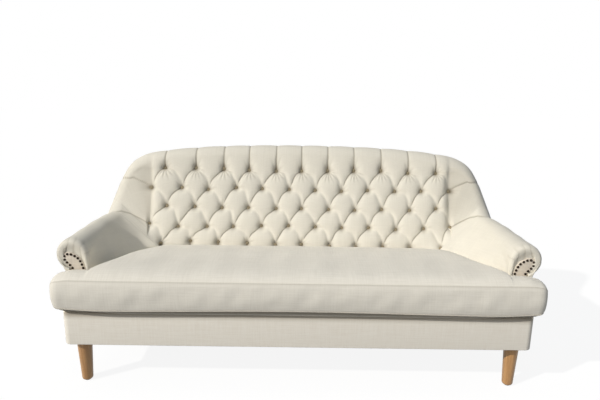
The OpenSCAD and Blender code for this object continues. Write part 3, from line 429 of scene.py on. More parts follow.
leg_oak = wood("leg_oak", (150, 104, 58), (216, 168, 112), (55, 55, 3.2), 0.42, coat=0.25)
PINE = ((176, 132, 82), (224, 188, 138))
pine_across = wood("pine_across", *PINE, (4, 60, 60), 0.7)
pine_deep = wood("pine_deep", *PINE, (60, 4, 60), 0.7)
pine_upright = wood("pine_upright", *PINE, (60, 60, 4), 0.7)
block_wood = wood("block_wood", (158, 112, 64), (206, 162, 108), (50, 50, 5), 0.75)
steel = worn("steel", (120, 122, 126), (176, 178, 182), 0.35, 0.9)
iron = worn("iron", (84, 84, 86), (118, 118, 120), 0.5, 0.85)
nail_bronze = worn("nail_bronze", (30, 24, 19), (66, 52, 38), 0.34, 0.75, scale=260.0)
glide_plastic = worn("glide_plastic", (44, 42, 40), (64, 62, 59), 0.5, 0.0)
zip_metal = worn("zip_metal", (150, 142, 122), (196, 188, 168), 0.3, 0.9, scale=400.0)
foam = worn("foam", (238, 226, 178), (250, 242, 208), 0.85, 0.0, scale=700.0)
print("hard materials", len(bpy.data.materials))

# %% [markdown]
# ## Solids that stay
# The rails, blocks, plates, screws, springs and glides have their real shape already, so they keep
# it and only get a finish. They are found by name.

# %% Finish the solids of the frame
SOLIDS = [
    (pine_across, "front_rail rear_rail back_top_rail back_tack_rail"),
    (pine_deep, "left_side_rail right_side_rail cross_rails arm_rail_left arm_rail_right"),
    (pine_upright, "back_ribs arm_board_left arm_board_right arm_post_left arm_post_right"),
    (block_wood, "corner_blocks"),
    (steel, "leg_plates leg_plate_screws leg_bolts seat_springs"),
    (iron, "spring_clips shoulder_rail_left shoulder_rail_right"),
    (glide_plastic, "leg_glides"),
    (burlap, "deck_burlap"),
    (batting, "deck_pad"),
    (hidden_linen, "deck_cover"),
    (dust_cloth, "dust_cover"),
    (foam, "cushion_core"),
    (zip_cloth, "zipper_tape"),
    (zip_metal, "zipper_teeth zipper_slider zipper_pull"),
]
finished = 0
for finish, names in SOLIDS:
    for name in names.split():
        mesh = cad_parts[name].data
        mesh.materials.clear()
        mesh.materials.append(finish)
        finished += 1
print("finished", finished, "solids")

# %% [markdown]
# ## The line of the upholstery
# Arms and back are one sweep: a wall that leans out, and a roll on top of it. Its section changes
# along a path from the front of an arm, round the shoulder, to the middle of the back. A few
# stations give the section, and a smooth curve runs through them. This is how the solids were
# drawn, so the same stations give a finer surface for the cover to lie on.

# %% Sizes of the upholstery
ARM_ROLL_R = 0.0675
BACK_ROLL_R = 0.064
DECK_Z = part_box("arm_pad_right")[0].z
ARM_FRONT_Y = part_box("arm_pad_right")[0].y
ROLL_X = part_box("arm_pad_right")[1].x - ARM_ROLL_R
SEAT_HALF = 0.841
WALL_REAR_Y = 0.061
ROLL_REAR_Y = 0.333
ARM_ROLL_Z = 0.5385
BACK_ROLL_Z = 0.847
SEAT_RISE = 0.135
SEAT_LINE_Z = DECK_Z + SEAT_RISE
ARM_LEAN = 0.008
BACK_LEAN = 0.058
PAD = 0.034
# Columns: foot of the wall (x, y), its lean (x, y), centre of the roll (x, y, z), way of the tail (x, y).
STATIONS = np.array([
    [1.000, 0.000, 0.90, 0.00, 1.000, 0.000, 0.000, 0.30, 0.00],
    [0.958, 0.237, 1.00, 0.04, 0.995, 0.155, 0.000, 0.30, 0.00],
    [0.918, 0.461, 1.10, 0.12, 0.989, 0.318, 0.000, 0.30, 0.00],
    [0.874, 0.673, 1.20, 0.20, 0.984, 0.489, 0.000, 0.30, 0.05],
    [0.826, 0.838, 0.90, 0.43, 0.973, 0.627, 0.000, 0.30, 0.25],
    [0.792, 0.913, 0.25, 0.69, 0.952, 0.736, 0.016, 0.28, 0.70],
    [0.763, 0.947, -0.12, 0.84, 0.943, 0.842, 0.171, 0.20, 1.20],
    [0.735, 0.972, -0.50, 0.91, 0.921, 0.891, 0.368, 0.10, 1.60],
    [0.700, 0.981, -0.50, 0.96, 0.889, 0.929, 0.600, 0.05, 1.60],
    [0.642, 0.991, -0.38, 0.98, 0.837, 0.953, 0.800, 0.00, 1.20],
    [0.551, 0.997, 0.00, 1.00, 0.722, 0.971, 0.897, 0.00, 0.70],
    [0.310, 1.000, 0.00, 1.00, 0.419, 0.993, 0.974, 0.00, 0.42],
    [0.000, 1.000, 0.00, 1.00, 0.000, 1.000, 1.000, 0.00, 0.35],
])
LAST = len(STATIONS) - 1
KINK = 5
SEAM = 0.004
MIRROR = np.array([-1, 1, -1, 1, -1, 1, 1, -1, 1])
print("stations", LAST + 1, "kink at", KINK)

# %% Curves through the stations
STEP = 0.02


def mix(a, b, f):
    return a + (b - a) * f


def smooth(f):
    f = np.clip(f, 0, 1)
    return f * f * (3 - 2 * f)


def fade_in(x, start, run):
    """0 as far as start, and from there a smooth rise to 1 over run."""
    return smooth((x - start) / run)


def fade_out(x, end, run):
    """0 from end on, and before it a smooth fall from 1 over run."""
    return smooth((end - x) / run)


def up_to(start, end, count):
    """Evenly spaced values from start, up to the one before end."""
    return np.linspace(start, end, count, endpoint=False)


def bell(distance, width):
    return np.exp(-(distance / width) ** 2)


def rounded(share):
    """Rises from 0 to 1 like a quarter of a circle, steeply at first."""
    return np.sqrt(np.clip(1 - np.clip(1 - share, 0, 1) ** 2, 0, 1))


def unit(v):
    return v / np.maximum(np.linalg.norm(v, axis=-1, keepdims=True), 1e-12)


def spline(points, t, mirror=None):
    """A smooth curve through the rows of points, which can go on past its end as its mirror image."""
    past_end = 2 * points[-1] - points[-2] if mirror is None else mirror * points[-2]
    knots = np.vstack([2 * points[0] - points[1], points, past_end])
    t = np.clip(np.asarray(t, float), 0, len(points) - 1)
    i = np.minimum(np.floor(t).astype(int), len(points) - 2)
    f = (t - i)[..., None]
    a, b, c, d = knots[i], knots[i + 1], knots[i + 2], knots[i + 3]
    bend = (2 * a - 5 * b + 4 * c - d) * f ** 2 + (3 * b - a - 3 * c + d) * f ** 3
    return 0.5 * (2 * b + (c - a) * f + bend)


def vector(x, y, z):
    return np.stack(np.broadcast_arrays(x, y, z), -1).astype(float)


def foot_at(t):
    """The foot of the wall, at the height of the deck."""
    s = spline(STATIONS, t, MIRROR)
    return vector(s[..., 0] * SEAT_HALF, mix(ARM_FRONT_Y, WALL_REAR_Y, s[..., 1]), DECK_Z)


def outward(t):
    """The level direction across the wall, away from the seat."""
    d = foot_at(t + STEP) - foot_at(t - STEP)
    return unit(vector(d[..., 1], -d[..., 0], 0))


def wall_at(t, inside):
    """The foot of the wall, at a depth inside the padding."""
    return foot_at(t) + np.asarray(inside)[..., None] * outward(t)


def lean_at(t, inside):
    """The wall at the seat line, at a depth inside the padding."""
    s = spline(STATIONS, t, MIRROR)
    return wall_at(t, inside) + vector(s[..., 2] * ARM_LEAN, s[..., 3] * BACK_LEAN, SEAT_RISE)


def roll_at(t):
    """The centre of the roll."""
    s = spline(STATIONS, t, MIRROR)
    return vector(s[..., 4] * ROLL_X, mix(ARM_FRONT_Y, ROLL_REAR_Y, s[..., 5]),
                  mix(ARM_ROLL_Z, BACK_ROLL_Z, s[..., 6]))


def along(t):
    """The direction in which the roll runs."""
    d = unit(roll_at(t + STEP) - roll_at(t - STEP))
    d = np.where((t > LAST - STEP)[..., None], np.array([-1.0, 0, 0]), d)
    return unit(mix(np.array([0, 1.0, 0]), d, np.clip(t, 0, 1)[..., None]))


def dot(a, b):
    return (a * b).sum(-1)


def section_at(t, inside):
    """The roll's centre, radius, two axes, first and last angle, and the point on the seat line."""
    centre = roll_at(t)
    radius = mix(ARM_ROLL_R, BACK_ROLL_R, np.clip(t / LAST, 0, 1)) - inside
    way = along(t)
    lean = lean_at(t, inside)
    e = lean - centre
    first = unit(e - dot(e, way)[..., None] * way)
    second = np.cross(way, first)
    start = np.arccos(np.clip(radius / np.linalg.norm(e, axis=-1), -1, 1))
    s = spline(STATIONS, t, MIRROR)
    down = vector(s[..., 7], s[..., 8], -1)
    turn = np.arctan2(dot(down, second), dot(down, first))
    end = np.where(turn < start, turn + 2 * np.pi, turn)
    return centre, radius, first, second, start, end, lean


def on_roll(section, angle):
    centre, radius, first, second = section[:4]
    arm = np.cos(angle)[..., None] * first + np.sin(angle)[..., None] * second
    return centre + radius[..., None] * arm


def skin(t, q, inside=0.0):
    """A surface point: q is 0 to 1 up to the seat line, 1 to 2 up the face, 2 to 3 over the roll."""
    t, q, inside = np.broadcast_arrays(np.asarray(t, float), q, inside)
    section = section_at(t, inside)
    start, end, lean = section[4:]
    low = mix(wall_at(t, inside), lean, np.clip(q, 0, 1)[..., None])
    face = mix(lean, on_roll(section, start), np.clip(q - 1, 0, 1)[..., None])
    over = on_roll(section, mix(start, end, np.clip(q - 2, 0, 1)))
    return np.where((q <= 1)[..., None], low, np.where((q <= 2)[..., None], face, over))


def q_at(t, z):
    """How far along the line at t a height z is reached."""
    section = section_at(t, np.zeros_like(t))
    centre, radius, first, second, start, end, lean = section
    tangent_z = on_roll(section, start)[..., 2]
    straight = 1 + (z - lean[..., 2]) / (tangent_z - lean[..., 2])
    reach = np.hypot(first[..., 2], second[..., 2])
    top = np.arctan2(second[..., 2], first[..., 2])
    angle = top - np.arccos(np.clip((z - centre[..., 2]) / (radius * reach), -1, 1))
    return np.where(z <= tangent_z, straight, 2 + (angle - start) / (end - start))


def waves(x, y, seed, count, shortest, longest):
    """A gentle random undulation, from -1 to 1 or so."""
    chance = random.Random(seed)
    total = np.zeros_like(x + y)
    for _ in range(count):
        length = chance.uniform(shortest, longest)
        way = chance.uniform(0, math.pi)
        phase = chance.uniform(0, 2 * math.pi)
        total += np.sin(2 * math.pi * (x * math.cos(way) + y * math.sin(way)) / length + phase)
    return total / math.sqrt(count)


middle = skin(np.array([float(LAST)]), np.array([2.5]))[0]
print("top roll at the middle of the back:", middle.round(3))

# %% [markdown]
# ## Building a padded shell
# A padded cover is modelled as a closed shell: a fine outer sheet with all the folds, and a plain
# lining behind it. Points are worked out row by row and joined with quads. A UV map in metres goes
# with them, so that the weave follows the cloth, and a value of painted shade darkens the creases
# and hollows.

# %% Shell helper


def new_piece(name, points, faces):
    mesh = bpy.data.meshes.new(name)
    mesh.from_pydata([tuple(p) for p in points], [], faces)
    mesh.polygons.foreach_set("use_smooth", [True] * len(mesh.polygons))
    piece = bpy.data.objects.new(name, mesh)
    bpy.context.scene.collection.objects.link(piece)
    return piece


def run_lengths(grid, axis):
    """Distances along one way of a grid of points, starting at 0."""
    steps = np.linalg.norm(np.diff(grid, axis=axis), axis=-1)
    zero = np.zeros_like(np.take(steps, [0], axis=axis))
    return np.concatenate([zero, np.cumsum(steps, axis=axis)], axis=axis)


def set_weave_map(piece, uv):
    """A UV map in metres from one place for each point."""
    mesh = piece.data
    corner = np.zeros(len(mesh.loops), int)
    mesh.loops.foreach_get("vertex_index", corner)
    layer = mesh.uv_layers.new(name=WEAVE_MAP)
    layer.data.foreach_set("uv", uv[corner].astype(np.float32).ravel())


# Painted shade values, one for each point.
def set_painted_shade(piece, values):
    attribute = piece.data.attributes.new(PAINTED_SHADE_VALUE, "FLOAT", "POINT")
    attribute.data.foreach_set("value", values.astype(np.float32))


def rework(piece, change):
    """Lets a function change a piece's mesh."""
    work = bmesh.new()
    work.from_mesh(piece.data)
    change(work)
    work.to_mesh(piece.data)
    work.free()


def point_outwards(work):
    bmesh.ops.recalc_face_normals(work, faces=work.faces)


def closed_tube(name, rings, fold=None, along_row=0):
    """Joins closed rings of points, one after the other, and closes both ends."""
    n, width = rings.shape[:2]
    i, j = np.meshgrid(np.arange(n - 1), np.arange(width), indexing="ij")
    a, b = i * width + j, i * width + (j + 1) % width
    quads = np.stack([a, b, b + width, a + width], -1).reshape(-1, 4)
    faces = quads.tolist()
    faces.append(list(range(width))[::-1])
    faces.append([(n - 1) * width + j for j in range(width)])
    piece = new_piece(name, rings.reshape(-1, 3), faces)
    across = run_lengths(rings, 0)
    u = np.repeat(across[:, along_row:along_row + 1], width, axis=1)
    set_weave_map(piece, np.stack([u, run_lengths(rings, 1)], -1).reshape(-1, 2))
    set_painted_shade(piece, (np.zeros((n, width)) if fold is None else fold).ravel())
    rework(piece, point_outwards)
    return piece


def closed_shell(name, outer, inner, fold=None):
    """Joins an outer and an inner grid, with the same columns, into a closed shell."""
    rings = np.concatenate([outer, inner[:, ::-1]], axis=1)
    n, width = rings.shape[:2]
    # Painted shade goes on the outer sheet only; the lining gets none.
    depth = np.zeros((n, width))
    if fold is not None:
        depth[:, :outer.shape[1]] = fold
    return closed_tube(name, rings, depth, outer.shape[1] // 2)


def dress(piece, material, body, slot, *nodes):
    """Gives a piece its material and its body, and hides the solids that it stands for. The slot is not
    used.
    """
    piece.data.materials.append(material)
    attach(piece, body)
    if nodes:
        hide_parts(*nodes)
    return piece


FRAME_BODY = "sofa_frame"
print("helpers ready")

# %% [markdown]
# ## Tufting
# Each button pulls the cover down into the padding. Between buttons the spare cloth is folded: the
# folds that rise to the right are laid over and show as a sharp, slightly curved line, and the
# others are soft valleys. Above the top row the folds run straight up over the roll. The pattern is
# drawn in a plane of half pitches across (a) and rows up (b), and then laid on the surface. A cloth
# simulation could find these folds, but a formula keeps every button where the real one is.

# %% Sizes of the tufting
HALF_PITCH = 0.066
ROW_RISE = 0.083
TOP_ROW = 4
LAST_BUTTON = 10
EDGE_LINE = 11
WING = 3
TAIL_ROW = 7
PILLOW = 0.0065
VALLEY = 0.0032
VALLEY_R = 0.013
CREASE = 0.0030
PLEAT = 0.0040
PIT = 0.0130
PIT_R = 0.0195
CORE = 0.0080
CORE_R = 0.0100
FOLD_BEND = 0.11
VALLEY_BEND = 0.20
# FOLD_LINE and PLEAT_LINE are the widths of the painted shade along laid creases and pleats.
FOLD_OVER, FOLD_UNDER, FOLD_LINE = 0.0016, 0.0085, 0.0021
PLEAT_OVER, PLEAT_UNDER, PLEAT_LINE = 0.0017, 0.0070, 0.0024
RIM_DIP, RIM_DIP_R = 0.005, 0.018
PIT_SHADE_R = 0.0125
GATHER, GATHER_AT, GATHER_R = 0.0026, 0.022, 0.014
FAN, FAN_AT, FAN_R = 0.0038, 0.026, 0.018
LIP, LIP_AT, LIP_OVER, LIP_UNDER = 0.0022, 0.0012, 0.0012, 0.006
LIP_FROM, LIP_TO = 0.005, 0.036
LATTICE = 1 / math.hypot(1 / (2 * HALF_PITCH), 1 / (2 * ROW_RISE))


def is_button(a, b):
    return (a + b) % 2 == 0 and abs(a) <= (EDGE_LINE if b % 2 else LAST_BUTTON)


BUTTONS = [(a, b) for b in range(TOP_ROW + 1) for a in range(-EDGE_LINE, EDGE_LINE + 1)
           if is_button(a, b)]
print("buttons", len(BUTTONS), "lattice spacing", round(LATTICE, 4))

# %% [markdown]
# ## Drift of the buttons
# No upholsterer sets every button to the millimetre. On this sofa most sit a little to the right of
# a regular pattern and the lower rows a little low. Each button has its own drift, in millimetres.
# The tables go from the lowest row up, and from left to right. The folds between buttons follow.

# %% Drift of the buttons
DRIFT_X = [[7, 3, 4, 13, 17, 10, 14, 8, 6, 4, 7],
           [0, 7, 15, 9, 13, 12, 11, 6, 5, 4, 6, 0],
           [15, 19, 19, 14, 18, 8, 8, 3, 2, 6, 2],
           [0, 19, 14, 19, 14, 14, 9, 5, 0, 0, -4, 0],
           [-2, 18, 23, 14, 15, 6, 2, -2, -1, -1, 4]]
DRIFT_Z = [[0, 4, -1, -3, -7, -5, -9, -10, -9, -11, 0],
           [0, -15, -14, -13, -8, -5, -9, -12, -10, -17, -10, 0],
           [-1, -4, -8, -7, -10, -8, -11, -13, -7, -9, 2],
           [0, 2, -7, 4, 0, -2, -5, -8, -2, -4, -1, 0],
           [13, 10, 6, 2, 0, 1, 3, 5, 7, 0, 2]]
DRIFT = [(x * 0.001 / HALF_PITCH, z * 0.001 / ROW_RISE)
         for row_x, row_z in zip(DRIFT_X, DRIFT_Z) for x, z in zip(row_x, row_z)]


def drift_at(a, b):
    """The drift of the pattern at a place, between the buttons near it."""
    weight = np.full(np.shape(a), 0.01)
    across, up = np.zeros_like(weight), np.zeros_like(weight)
    side, row = np.clip(a, -EDGE_LINE, EDGE_LINE), np.clip(b, 0, TOP_ROW)
    for (ba, bb), (x, z) in zip(BUTTONS, DRIFT):
        near = np.exp(-1.6 * ((side - ba) ** 2 + (row - bb) ** 2))
        weight += near
        across += near * x
        up += near * z
    return across / weight, up / weight


def before_drift(a, b):
    """The place in the regular pattern that has drifted to (a, b)."""
    across, up = drift_at(a, b)
    across, up = drift_at(a - across, b - up)
    return a - across, b - up


print("drift up to", max(max(map(abs, row)) for row in DRIFT_X), "mm")

# %% Depth of the tufting


def lap(distance, over, under):
    """The profile of a laid fold: steep on the side that lies over, gentle on the other."""
    return np.where(distance < 0, np.exp(distance / over), np.exp(-distance / under))


def tuft_depth(a, b):
    """How deep the cover lies, and its painted shade along creases and pleats, at half pitch a and row b.
    """
    side = np.clip(np.abs(a), 0, EDGE_LINE) * np.sign(a)
    row = np.clip(b, 0, TOP_ROW)
    u, v = (side + row) / 2, (side - row) / 2
    along_fold = u - np.floor(u)
    luck = 0.5 + 0.5 * np.sin(5.3 * u + 1.7) * np.sin(4.1 * v + 0.6)
    bent = v + FOLD_BEND * (0.75 + 0.5 * luck) * np.sin(np.pi * along_fold) ** 0.9
    from_fold = (bent - np.round(bent)) * LATTICE
    bowed = u - VALLEY_BEND * (0.7 + 0.6 * luck) * np.sin(np.pi * (v - np.floor(v)))
    from_valley = (bowed - np.round(bowed)) * LATTICE
    laid = fade_in(along_fold, 0.06, 0.3) * fade_out(np.abs(a), EDGE_LINE - 0.1, 0.2)
    past_top = np.clip(b - TOP_ROW, 0, None)
    below = np.clip(-b, 0, None)
    outside = np.clip(fade_in(past_top, 0, 0.15) + fade_in(below, 0, 0.3), 0, 1)
    flat = mix(1, 0.35, fade_in(past_top, 0, 0.6))
    swell = np.abs(np.sin(np.pi * bowed) * np.sin(np.pi * bent)) ** 0.8
    upright = np.sin(np.pi * (side + TOP_ROW) / 2) ** 2
    depth = PILLOW * (1 - mix(swell, upright ** 0.5, outside)) * flat
    soft = bell(from_valley, VALLEY_R) + 0.7 * bell(from_fold, VALLEY_R)
    depth = depth + VALLEY * soft * (1 - outside)
    crease = CREASE * (1.25 - 0.5 * luck) * lap(from_fold, FOLD_OVER, FOLD_UNDER)
    depth = depth + crease * laid * (1 - outside)
    fold = bell(from_fold, FOLD_LINE) * laid * (1 - outside)
    to_pleat = (a - 2 * np.round(a / 2)) * HALF_PITCH
    pleated = outside * (np.abs(a) < LAST_BUTTON + 1)
    depth = depth + PLEAT * lap(to_pleat, PLEAT_OVER, PLEAT_UNDER) * pleated * np.exp(-past_top / 3)
    fold = np.maximum(fold, bell(to_pleat, PLEAT_LINE) * pleated)
    inside = smooth(1 - (np.abs(a) - EDGE_LINE) / 0.6)
    edge = bell((np.abs(a) - EDGE_LINE) * HALF_PITCH, RIM_DIP_R)
    edge = edge * smooth(b / 0.6 + 0.6) * fade_out(b, TOP_ROW + 0.2, 0.5)
    return depth * inside + RIM_DIP * edge, fold * inside * 0.8


def gathers(a, b, depth, fold):
    """Pits at the buttons, and the short pleats that fan out from them, both with painted shade."""
    for number, (ba, bb) in enumerate(BUTTONS):
        near = (np.abs(a - ba) < 1.1) & (np.abs(b - bb) < 0.95)
        x = (a[near] - ba) * HALF_PITCH
        y = (b[near] - bb) * ROW_RISE
        r = np.hypot(x, y)
        angle = np.arctan2(y, x)
        chance = random.Random(number)
        size = chance.uniform(0.8, 1.15)
        lean = 1 + 0.25 * np.sin(angle + 0.8) * (bb == TOP_ROW)
        depth[near] += size * PIT * bell(r, PIT_R * lean) + CORE * bell(r, CORE_R)
        fold[near] += bell(r, PIT_SHADE_R)
        count = chance.randint(8, 12)
        ripple = 0.5 + 0.5 * np.cos(count * angle + chance.uniform(0, 6))
        up = fade_in(np.sin(angle + 0.5), -0.1, 0.8)
        reach = bell(r - GATHER_AT, GATHER_R)
        strength = chance.uniform(0.3, 1.2)
        depth[near] += GATHER * strength * ripple ** 3 * up * reach
        fold[near] += 0.15 * strength * ripple ** 4 * up * reach
        lip = y - 0.10 * x + LIP_AT
        beside = fade_in(x, LIP_FROM, 0.006) * fade_out(x, LIP_TO, 0.016)
        depth[near] += LIP * size * lap(-lip, LIP_OVER, LIP_UNDER) * beside
        if bb == TOP_ROW:
            down = fade_in(-np.sin(angle - 0.35), 0.15, 0.5)
            fan = (0.5 + 0.5 * np.cos(chance.choice([13, 15]) * angle + chance.uniform(0, 6))) ** 3
            far = bell(r - FAN_AT, FAN_R)
            depth[near] += FAN * size * fan * down * far
            fold[near] += 0.35 * fan * down * far
    return depth, fold


print("tufting", round((PILLOW + VALLEY + PIT + CORE) * 1000), "mm deep at a button")

# %% [markdown]
# ## The tufted back
# The inside back is one cover from the seat, up the face and over the roll to its tail behind. The
# plane of the pattern is laid on the surface by equal widths along the sofa and equal heights, and
# in the wings, past the last buttons, it fans out to the kink above the arm.

# %% Lay the pattern on the surface
COLUMNS_IN = 19
WING_COLUMNS = 48
ROWS = {"below": 9, "tufted": 104, "rise": 9, "over": 46}
ROLL_ROW = TOP_ROW + 0.5
KINK_ROLL_ROW = 2
LEAST_STEP = 0.03


def row_q(t, b):
    """The line's fraction at row b."""
    q_top = q_at(t, SEAT_LINE_Z + TOP_ROW * ROW_RISE)
    tufted = q_at(t, SEAT_LINE_Z + np.clip(b, 0, TOP_ROW) * ROW_RISE)
    first = mix(q_top, 2, np.clip((b - TOP_ROW) / (ROLL_ROW - TOP_ROW), 0, 1))
    rest = 2 + (b - ROLL_ROW) / (TAIL_ROW - ROLL_ROW)
    lower = np.where(b < ROLL_ROW, first, rest)
    higher = mix(q_top, 3, (b - TOP_ROW) / (TAIL_ROW - TOP_ROW))
    above = np.where(q_top < 2, lower, higher)
    return np.where(b < 0, 1 + b, np.where(b <= TOP_ROW, tufted, above))


def kink_q(b):
    """The line's fraction at row b, at the kink."""
    low = 1 + b / KINK_ROLL_ROW
    high = 2 + (b - KINK_ROLL_ROW) / (TAIL_ROW - KINK_ROLL_ROW)
    return np.where(b < 0, 1 + b, np.where(b <= KINK_ROLL_ROW, low, high))


def lay_row(b, wide):
    """Places (t, q) along one row, at the half pitches in wide, from the middle to the kink."""
    ts = np.linspace(KINK, LAST, 400)
    xs = skin(ts, row_q(ts, np.full_like(ts, b)))[:, 0]
    order = np.argsort(xs)
    regular = np.interp(np.clip(wide, 0, EDGE_LINE) * HALF_PITCH, xs[order], ts[order])
    least = KINK + SEAM + (EDGE_LINE + WING - np.clip(wide, 0, EDGE_LINE)) * LEAST_STEP
    t = np.maximum(regular, least)
    q = row_q(t, np.full_like(t, b))
    f = np.clip((wide - EDGE_LINE) / WING, 0, 1)
    t_wing = mix(t, KINK + SEAM, f)
    q_wing = mix(q, kink_q(np.array(b)), f)
    return t_wing, q_wing


half = np.concatenate([up_to(0, EDGE_LINE, EDGE_LINE * COLUMNS_IN), [EDGE_LINE],
                       np.linspace(EDGE_LINE, EDGE_LINE + WING, WING_COLUMNS + 1)[1:]])
rows = np.concatenate([up_to(-1, 0, ROWS["below"]), up_to(0, TOP_ROW, ROWS["tufted"]),
                       up_to(TOP_ROW, ROLL_ROW, ROWS["rise"]),
                       np.linspace(ROLL_ROW, TAIL_ROW, ROWS["over"] + 1)])
laid = [lay_row(b, half) for b in rows]
t_half = np.stack([t for t, q in laid], 1)
q_half = np.stack([q for t, q in laid], 1)
print("grid", t_half.shape, "t from", round(t_half.min(), 2), "to", t_half.max())

# %% [markdown]
# ## Wings
# Past the end buttons the cover isn't tufted. Two long pleats cross each wing, each from an end
# button to the roll. They are drawn as points along the surface, from the face to the roll's tail,
# and smoothed. The wing falls back from its rim towards the end buttons, and the lower part of each
# arm falls back a little beside the rear of the cushion.

# %% Pleats across the wings
UPPER_PLEAT = [(1.745, 8.86), (1.83, 8.70), (1.93, 8.43), (2.06, 8.09), (2.25, 7.93), (2.5, 7.85),
               (3.0, 7.8)]
LOWER_PLEAT = [(1.43, 6.71), (1.54, 6.58), (1.66, 6.35), (1.80, 5.90), (1.93, 5.50), (2.05, 5.25),
               (2.2, 5.10), (2.45, 5.004), (3.0, 5.004)]
# LONG_LINE is the width of the painted shade along each long pleat.
LONG_PLEAT, LONG_OVER, LONG_UNDER, LONG_LINE = 0.0036, 0.0018, 0.009, 0.003
STARTS_EARLY, STARTS_OVER = 0.02, 0.05
EASE = 8


def wing_pleats(t, q):
    """How deep the two long pleats lie at each point, and the painted shade along their line."""
    deep, line = np.zeros_like(t), np.zeros_like(t)
    across = np.linalg.norm(skin(t + STEP, q) - skin(t - STEP, q), axis=-1) / (2 * STEP)
    up = np.linalg.norm(skin(t, q + STEP) - skin(t, q - STEP), axis=-1) / (2 * STEP)
    for pleat in (UPPER_PLEAT, LOWER_PLEAT):
        q_knots, t_knots = np.array(pleat).T
        fine_q = np.linspace(q_knots[0], q_knots[-1], 200)
        padded = np.pad(np.interp(fine_q, q_knots, t_knots), EASE, mode="edge")
        fine_t = np.convolve(padded, np.ones(2 * EASE + 1) / (2 * EASE + 1), "valid")
        place = np.interp(q, fine_q, fine_t)
        slope = np.interp(q, fine_q, np.gradient(fine_t, fine_q))
        away = (t - place) * across / np.sqrt(1 + (slope * across / up) ** 2)
        on = smooth((q - q_knots[0] + STARTS_EARLY) / STARTS_OVER)
        deep = np.maximum(deep, on * lap(-away, LONG_OVER, LONG_UNDER))
        line = np.maximum(line, on * bell(away, LONG_LINE))
    return deep, line


pleat_deep, pleat_painted_shade = wing_pleats(t_half, q_half)
print("wing pleats on", int((pleat_painted_shade > 0.5).sum()), "points")

# %% The hollow of the wings
WING_HOLLOW = 0.024
TUFT_HOLLOW_R = 0.014
HOLLOW_SHADE = 0.25
SIDE_HOLLOW = 0.012
DEEPEST = 0.031


def side_hollow(t, q):
    """The lower part of the rear of an arm falls back behind the cushion."""
    return SIDE_HOLLOW * fade_out(q, 1.8, 0.8) * fade_in(t, 1.6, 1.5) * fade_out(t, KINK, 1.1)


def wing_hollow(a, b):
    """The wing falls back from its rim to the end buttons, and the tufted part rises from there."""
    past = (np.abs(a) - EDGE_LINE) / WING
    on_wing = np.clip(1 - past, 0, 1) ** 1.5
    on_tufts = np.exp(np.minimum(past, 0) * WING * HALF_PITCH / TUFT_HOLLOW_R)
    upright = fade_in(b, 0.5, 1.2) * fade_out(b, TOP_ROW + 1.6, 2.6)
    return np.where(past > 0, on_wing, on_tufts) * upright


# %% The tufted back's shell
BESIDE_ARM_RUN, SEAM_RUN, TAIL_RUN = 0.7, 0.25, 0.25
LONG_PLEAT_SHADE = 0.6
LINING_ROWS = 9
MIRRORED = [-1, 1, 1]


def half_sheet(sign):
    """One half of the outer sheet, from the middle outwards, and its painted shade."""
    a = sign * np.repeat(half[:, None], len(rows), 1)
    b = np.repeat(rows[None], len(half), 0)
    regular_a, regular_b = before_drift(a, b)
    depth, fold = tuft_depth(regular_a, regular_b)
    beside_arm = smooth((t_half - KINK - SEAM) / BESIDE_ARM_RUN)
    depth, fold = gathers(regular_a, regular_b, depth * beside_arm, fold * beside_arm)
    hollow = wing_hollow(a, b)
    at_seam = smooth((t_half - KINK - SEAM) / SEAM_RUN)
    depth = DEEPEST * np.tanh((depth + WING_HOLLOW * hollow) * at_seam / DEEPEST)
    depth = depth + LONG_PLEAT * pleat_deep
    # Painted shade: darker in the wing's hollow and along the long pleats.
    fold = np.maximum(fold + HOLLOW_SHADE * hollow ** 1.5, LONG_PLEAT_SHADE * pleat_painted_shade) * at_seam
    tail = fade_out(b, TAIL_ROW, TAIL_RUN)
    points = skin(t_half, q_half, depth * tail)
    points[..., 0] *= sign
    return points, np.clip(fold, 0, 1)


right_points, right_painted_shade = half_sheet(1)
left_points, left_painted_shade = half_sheet(-1)
outer = np.concatenate([left_points[::-1], right_points[1:]])
outer_painted_shade = np.concatenate([left_painted_shade[::-1], right_painted_shade[1:]])
few = np.linspace(0, len(rows) - 1, LINING_ROWS).round().astype(int)
lining = skin(t_half[:, few], q_half[:, few], PAD)
lining = np.concatenate([lining[::-1] * MIRRORED, lining[1:]])
tufted_back = closed_shell("tufted_back_cover", outer, lining, outer_painted_shade)
dress(tufted_back, cream_linen, FRAME_BODY, "cream_linen", "tufted_back")
print("tufted back", len(tufted_back.data.polygons), "faces")

# %% [markdown]
# ## Covered buttons
# A covered button is a low dome of the same cloth with a tight rim. Its linen is darker here, since
# it sits in the shade of its pit. One is modelled by spinning a half profile, and a copy goes to
# each pit, turned to the padding's own direction there.

# %% Buttons
BUTTON_R = 0.0085
BUTTON_H = 0.0037
BUTTON_SINK = 0.0012
BUTTON_SHAPE = [(0.0050, -0.004), (0.0078, -0.0035), (BUTTON_R, -0.0014), (BUTTON_R, -0.0002),
                (0.0077, 0.0013), (0.0064, 0.0026), (0.0038, 0.0034), (0.0012, BUTTON_H)]
BUTTON_SIDES = 20
LOOK_IN, LOOK_FROM = 0.02, 0.01


def pick_only(*pieces):
    """Selects pieces and nothing else, and makes the first one active."""
    bpy.ops.object.select_all(action="DESELECT")
    for piece in pieces:
        piece.select_set(True)
    bpy.context.view_layer.objects.active = pieces[0]


